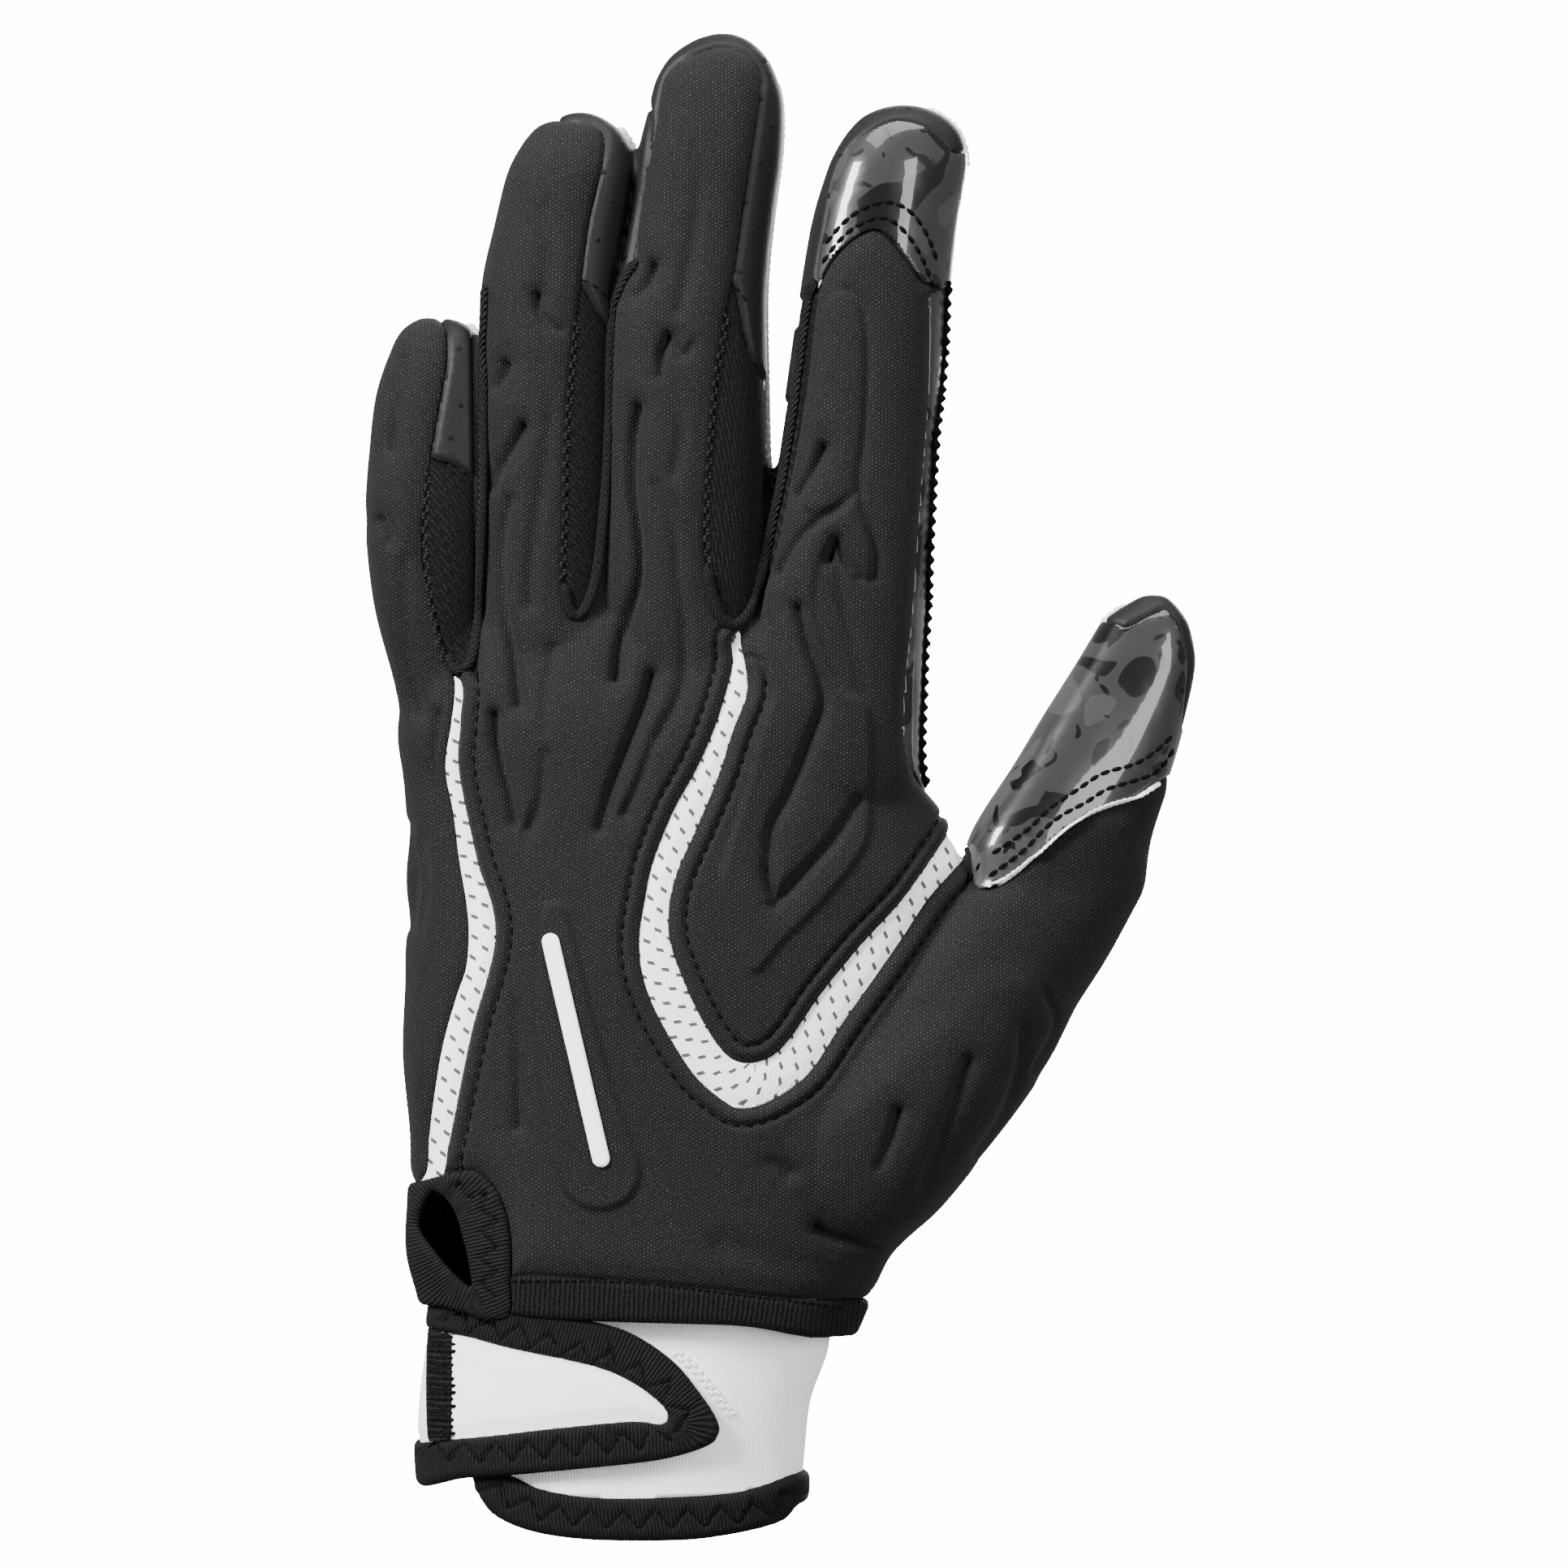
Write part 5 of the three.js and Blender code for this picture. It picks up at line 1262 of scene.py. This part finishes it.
# round the strap's nose the ribs turn with the tape; elsewhere they stand upright
nose_line = [(683, 1637), (742, 1654), (788, 1674), (821, 1698), (850, 1730), (854, 1752), (838, 1768),
             (780, 1772), (719, 1776)]
on_nose = (points[:, 0] > across(-2)) & (points[:, 1] < 0)
uv = np.where(on_nose[:, None], cloth_map(points, nose_line), points[:, [6, 2]])
make_piece("strap_binding_tape", points, faces, "binding", uv=uv,
           nodes=["strap_binding"], rim=0.0018)

band, _ = wrist_piece(*field, "stitched_band")
points, faces = band
front_half = points[:, 1] < 0
band = part_of(points, faces, front_half[faces].all(1))
points = move_out(band[0], 0.0007)
remember(points, band[1])
make_piece("strap_band_knit", points, band[1], "gusset_knit",
           uv=np.column_stack([points[:, 2], points[:, 0]]), nodes=["strap_stitched_band"], rim=0.0005)

# %% [markdown]
# ## The plain bar
# A slim white bar with round ends lies on its raised pad on the back of the hand. It is cut from the same
# surface as the pad and lifted by the same relief, so it follows the curve of the pad.

# %% Bar on its pad
bar_line = place([(684, 1160), (744, 1424)])
bar_half_width = 0.0014


def near_bar(points, faces, reach):
    distance, _ = nearest_on(points[:, [0, 2]], bar_line, closed=False)
    return split_by(points, faces, distance - reach)[0]


points, faces = near_bar(*finer(*near_bar(*panels["back_panel"], 0.004)), bar_half_width)
in_front = points[:, 1] < 0
points, faces = part_of(points, faces, in_front[faces].all(1))
padding = 0.0009 + relief("back_panel", points[:, [0, 2]])
rounding = bound_height(distance_to(points, border_of(points, faces)), 0.0004, 0.0006)
points = move_out(points, padding + 0.0003 + rounding)
remember(points, faces)
make_piece("plain_bar", points, faces, "emblem", nodes=["emblem"], rim=0.0008)

# %% [markdown]
# ## Tapes, stitches and holes
# Small sewn details are laid on the finished surface. A ray from the front finds where a point of the
# photograph meets the glove and which way the cloth faces there.

# %% Finding the surface
surface = BVHTree.FromPolygons(np.vstack(surface_points).tolist(), np.vstack(surface_faces).tolist())


def on_surface(x, z):
    """Place and outward direction of the glove at a point seen from the front."""
    hit, normal, _, _ = surface.ray_cast(Vector((x, -0.2, z)), Vector((0, 1, 0)))
    if hit is None:
        depth = float(middle(np.array([x]), np.array([z]))[0])
        hit, normal, _, _ = surface.find_nearest(Vector((x, depth, z)))
        normal = (Vector((x, depth, z)) - hit).normalized() if (Vector((x, depth, z)) - hit).length > 1e-4 else normal
    if normal.y > 0.3:
        normal = -normal
    return np.array(hit), np.array(normal)


def laid_on(path, step):
    """Places and directions on the glove along a flat path. A place that falls through a seam is left out,
    and the path ends where the cloth ends."""
    spots, normals, missed = [], [], 0
    for x, z in even_steps(path, step):
        spot, normal = on_surface(x, z)
        if spots and np.linalg.norm(spot - spots[-1]) > 0.0024 + 1.5 * step * missed:
            missed += 1
            if missed > 5:
                break
            continue
        spots.append(spot)
        normals.append(normal)
        missed = 0
    spots, normals = np.array(spots), np.array(normals)
    for _ in range(3):
        spots[1:-1] = (spots[:-2] + spots[1:-1] + spots[2:]) / 3
        normals[1:-1] = (normals[:-2] + normals[1:-1] + normals[2:]) / 3
    normals /= np.linalg.norm(normals, axis=1, keepdims=True)
    return spots, normals


def sweep(name, spots, normals, width, height, lift, finish, sides=8, wave=0.0, pitch=0.002, slant=0.0):
    """Round-topped tape along a row of spots. Its UV map runs along it, slanted where the cloth is braided."""
    tangents = np.gradient(spots, axis=0)
    tangents /= np.maximum(np.linalg.norm(tangents, axis=1, keepdims=True), 1e-12)
    across_way = np.cross(tangents, normals)
    across_way /= np.maximum(np.linalg.norm(across_way, axis=1, keepdims=True), 1e-12)
    turns = np.arange(sides) / sides * 2 * math.pi
    along = np.concatenate([[0], np.cumsum(np.linalg.norm(np.diff(spots, axis=0), axis=1))])
    swell = 1 + wave * np.cos(along / pitch * 2 * math.pi)
    taper = np.clip(np.minimum(along, along[-1] - along) / (width * 0.5), 0.15, 1) ** 0.5
    rings, uv = [], []
    for turn in turns:
        out = math.sin(turn) * height * (1 if turn < math.pi else 0.5)
        rings.append(spots + across_way * (math.cos(turn) * width / 2 * swell * taper)[:, None]
                     + normals * (out * swell * taper + lift)[:, None])
        leaning = slant * abs(math.cos(turn)) * width
        uv.append(np.column_stack([along + leaning, np.full(len(along), turn / 6.2832 * width)]))
    points = np.stack(rings, axis=1).reshape(-1, 3)
    uv = np.stack(uv, axis=1).reshape(-1, 2)
    faces = []
    for ring in range(len(spots) - 1):
        for i in range(sides):
            j = (i + 1) % sides
            faces.append((ring * sides + i, (ring + 1) * sides + i, (ring + 1) * sides + j, ring * sides + j))
    faces.append(tuple(range(sides)))
    faces.append(tuple(range((len(spots) - 1) * sides, len(spots) * sides))[::-1])
    return make_piece(name, points, faces, finish, uv=uv)


# %% Tapes at the finger roots
root_tapes = {
    "middle_root_tape": (1.9, [(787, 322), (772, 345), (760, 375), (754, 420), (752, 470), (750, 545), (743, 645),
                               (734, 715), (722, 752), (711, 763), (701, 752), (696, 720)]),
    "index_root_tape": (2.2, [(1004, 345), (997, 372), (990, 420), (983, 480), (972, 550), (962, 610),
                              (947, 672), (927, 742), (908, 772), (890, 765), (876, 735), (870, 700)]),
    "little_root_tape": (1.6, [(600, 352), (598, 420), (596, 520), (594, 620), (591, 720), (586, 800),
                               (576, 826), (562, 826), (551, 806)]),
}
for name, (width, line) in root_tapes.items():
    spots, normals = laid_on(smooth_through(place(line), 6), 0.0006)
    sweep(name, spots, normals, width / 1000, 0.0009, 0.0002, "root_tape", sides=12,
          wave=0.07, pitch=0.0011, slant=1.2)

# %% Raw white edges and the cord beside the index finger
raw_edges = {
    "index_grip_edge": (0.5, [(1010, 354), (1019, 332), (1038, 307), (1060, 290), (1080, 285), (1099, 292),
                              (1116, 310), (1132, 337), (1141, 360), (1146, 395), (1147, 430), (1145, 473),
                              (1142, 523), (1137, 595), (1131, 667), (1126, 739), (1118, 822), (1113, 888),
                              (1116, 921), (1127, 955), (1143, 978), (1158, 994)]),
    "thumb_grip_edge": (0.5, [(1206, 1095), (1227, 1093), (1254, 1075), (1278, 1052), (1309, 1024),
                              (1332, 1009), (1371, 993), (1394, 986), (1428, 963)]),
}
for name, (width, line) in raw_edges.items():
    spots, normals = laid_on(smooth_through(place(line), 6), 0.0005)
    sweep(name, spots, normals, width / 1000, 0.0009, 0.0004, "raw_edge", sides=6,
          wave=0.2, pitch=0.0011)

cord_line = [(1168, 345), (1165, 370), (1163, 423), (1160, 467), (1152, 534), (1147, 611), (1143, 694),
             (1141, 777), (1136, 860), (1134, 915), (1137, 945), (1144, 970)]
spots, normals = laid_on(smooth_through(place(cord_line), 6), 0.0003)
sweep("index_overlock_cord", spots, normals, 0.0012, 0.0008, 0.0001, "thread", sides=8,
      wave=0.4, pitch=0.0021)


def palm_seam(line):
    """Points of the palm grip's edge that lie nearest to a line of the photograph."""
    edge = border_of(*panels["palm_panel"])
    path = even_steps(smooth_through(place(line), 6), 0.0006)
    row = np.array([edge[np.hypot(edge[:, 0] - x, edge[:, 2] - z).argmin()] for x, z in path])
    for _ in range(10):
        row[1:-1] = (row[:-2] + row[1:-1] + row[2:]) / 3
    return row


# height in mm, line
flanges = {
    "ring_grip_edge": (1.3, [(757, 156), (771, 168), (781, 191), (780, 215), (776, 240)]),
    "index_tip_grip_edge": (1.0, [(1140, 133), (1158, 138), (1176, 148), (1189, 166), (1192, 185), (1187, 203)]),
    "thumb_tip_grip_edge": (1.0, [(1365, 774), (1376, 760), (1394, 746)]),
    "middle_grip_edge": (0.6, [(957, 96), (964, 117), (961, 166), (951, 264), (945, 305), (940, 362),
                               (938, 444), (935, 476), (936, 533), (944, 607)]),
    "little_grip_edge": (1.3, [(571, 400), (585, 408), (596, 425), (596, 455)]),
    "wrist_grip_edge": (0.7, [(507, 1420), (505, 1380), (504, 1335), (505, 1290)]),
}
for name, (height, line) in flanges.items():
    row = palm_seam(line)
    normals = row[:, 3:6] / np.linalg.norm(row[:, 3:6], axis=1, keepdims=True)
    sweep(name, row[:, :3], normals, 0.0007, height / 1000, 0.0001, "raw_edge", sides=8,
          wave=0.12, pitch=0.0013)

# %% Stitches
def thread_pieces(name, ends, radius, finish, arch=0.7):
    """One short raised thread for each pair of surface points, all in one mesh."""
    sides, rings = 6, 5
    turns = np.arange(sides) / sides * 2 * math.pi
    points, faces = [], []
    for (first, first_normal), (second, second_normal) in ends:
        way = second - first
        length = np.linalg.norm(way)
        if length < 1e-5 or length > 0.012:
            continue
        normal = first_normal + second_normal
        normal /= np.linalg.norm(normal)
        aside = np.cross(way / length, normal)
        aside /= max(np.linalg.norm(aside), 1e-9)
        base = len(points)
        for k in range(rings):
            share = k / (rings - 1)
            bulge = math.sin(math.pi * share)
            centre = first + way * share + normal * radius * (arch * bulge - 0.35)
            size = radius * (0.45 + 0.55 * bulge ** 0.5)
            for turn in turns:
                points.append(centre + aside * math.cos(turn) * size + normal * math.sin(turn) * size)
        for k in range(rings - 1):
            for i in range(sides):
                j = (i + 1) % sides
                a, b = base + k * sides, base + (k + 1) * sides
                faces.append((a + i, b + i, b + j, a + j))
        faces.append(tuple(range(base, base + sides)))
        faces.append(tuple(range(base + (rings - 1) * sides, base + rings * sides))[::-1])
    print(name, len(ends), "threads")
    return make_piece(name, np.array(points), faces, finish)


def running_stitches(line, pitch, length):
    path = even_steps(line, pitch / 8)
    total = np.linalg.norm(np.diff(path, axis=0), axis=1).sum()
    marks = np.arange(0.0, total - length, pitch)
    steps = np.concatenate([[0], np.cumsum(np.linalg.norm(np.diff(path, axis=0), axis=1))])
    ends = []
    for mark in marks:
        pair = [on_surface(*[np.interp(mark + extra, steps, path[:, i]) for i in (0, 1)]) for extra in (0, length)]
        ends.append(pair)
    return ends


def beside(edge, gap):
    """The line at a gap beside an open edge, without the points that a tight bend pushes too near."""
    way = np.gradient(edge, axis=0)
    way /= np.maximum(np.linalg.norm(way, axis=1, keepdims=True), 1e-12)
    line = edge + np.column_stack([way[:, 1], -way[:, 0]]) * gap
    distance, _ = nearest_on(line, edge, closed=False)
    return line[distance > abs(gap) * 0.97]


ends = []
for edges in sewn_edges.values():
    for edge, side in edges:
        ends += running_stitches(beside(edge, side * stitch_inset), 0.0022, 0.0015)
thread_pieces("panel_stitches", ends, 0.00026, "thread")

side_hems = [
    [(716, 346), (732, 353), (750, 368)], [(904, 354), (914, 364), (926, 384)],
    [(530, 564), (546, 572), (566, 590)], [(766, 322), (777, 313), (786, 310)],
]
ends = []
for line in side_hems:
    ends += running_stitches(smooth_through(place(line), 6), 0.0019, 0.0014)
thread_pieces("finger_side_stitches", ends, 0.00022, "thread")

cap_lines = [
    [(1017, 302), (1040, 275), (1068, 256), (1095, 250), (1122, 262), (1142, 290), (1158, 332)],
    [(1013, 326), (1034, 298), (1060, 277), (1088, 269), (1112, 284), (1134, 315), (1152, 360)],
    [(1218, 1080), (1262, 1047), (1285, 1023), (1309, 1004), (1340, 988), (1363, 973), (1402, 961),
     (1429, 950), (1450, 920)],
    [(1222, 1052), (1266, 1022), (1293, 996), (1328, 973), (1359, 953), (1398, 942), (1425, 926), (1450, 903)],
]
ends = []
for line in cap_lines:
    ends += running_stitches(smooth_through(place(line), 6), 0.0020, 0.0018)
thread_pieces("cap_stitches", ends, 0.00038, "thread")

hem_line = [(634, 1573), (746, 1573), (835, 1580), (924, 1591), (1013, 1603), (1046, 1609)]
ends = running_stitches(smooth_through(place(hem_line), 6), 0.0012, 0.0009)
thread_pieces("hem_stitches", ends, 0.0003, "thread")


# %% Zigzag threads on the bindings, the gussets and the cuff
def zigzag_threads(pitch, reach, line):
    corners = zigzag_corners(pitch, reach, line)
    ends = []
    for first, second in zip(corners[:-1], corners[1:]):
        spots = [on_surface(*corner) for corner in (first, (first + second) / 2, second)]
        ends += [(spots[0], spots[1]), (spots[1], spots[2])]
    return ends


ends = []
for rows in zigzags.values():
    for row in rows:
        ends += zigzag_threads(*row)
thread_pieces("zigzag_threads", ends, 0.0002, "thread", arch=0.6)

gusset_hems = [
    [(529, 584), (525, 657), (529, 716), (535, 760), (549, 820)],
    [(711, 400), (705, 471), (700, 538), (698, 602), (697, 657), (694, 715)],
    [(896, 390), (883, 467), (877, 534), (872, 611), (871, 667), (877, 735)],
]
ends = []
for line in gusset_hems:
    ends += zigzag_threads(2.3, 0.5, line)
thread_pieces("gusset_threads", ends, 0.00032, "root_tape", arch=0.6)

closure_line = [(833, 1660), (857, 1681), (880, 1709), (903, 1738)]
ends = zigzag_threads(1.5, 0.8, closure_line)
thread_pieces("closure_stitches", ends, 0.0003, "white_thread", arch=1.0)

# %% Threads of the stitched band
generator = np.random.default_rng(5)
ends = []
for z in np.arange(upward(7.1), upward(14.0), 0.0011):
    left = across(-37.2) - generator.uniform(0, 0.0004)
    right = across(-32.6) + generator.uniform(0, 0.0006)
    spots = [on_surface(float(x), float(z)) for x in np.linspace(left, right, 5)]
    ends += list(zip(spots[:-1], spots[1:]))
thread_pieces("strap_band_threads", ends, 0.0003, "thread", arch=0.3)

# %% Punched holes in the finger sides, drawn as dark discs of painted shade
holes = [
    (744, 213), (755, 249), (737, 297), (760, 290), (942, 72), (937, 122), (951, 155), (937, 201), (946, 240),
    (918, 250), (930, 285), (910, 335), (933, 324), (778, 266), (785, 215), (1119, 131), (1064, 149),
    (1035, 190), (1022, 241), (547, 412), (565, 430), (550, 465), (568, 500), (542, 500), (556, 540),
    (1455, 790), (1459, 850),
]
# each hole is a dark disc laid on the surface, and its darkness is painted shade of the hollow behind it
turns = np.arange(12) / 12 * 2 * math.pi
points, faces = [], []
for x, z in place(holes):
    spot, normal = on_surface(x, z)
    aside = np.cross(normal, (0, 0, 1))
    aside /= np.linalg.norm(aside)
    upward_way = np.cross(aside, normal)
    base = len(points)
    for radius, lift in ((0.0, 0.00002), (0.00046, 0.00008), (0.00056, -0.0001)):
        for turn in turns if radius else (0.0,):
            out = aside * math.cos(turn) + upward_way * math.sin(turn)
            points.append(spot + normal * lift + out * radius)
    faces += [(base, base + 1 + i, base + 1 + (i + 1) % 12) for i in range(12)]
    faces += [(base + 1 + i, base + 13 + i, base + 13 + (i + 1) % 12, base + 1 + (i + 1) % 12) for i in range(12)]
make_piece("punched_holes", np.array(points), faces, "hole")
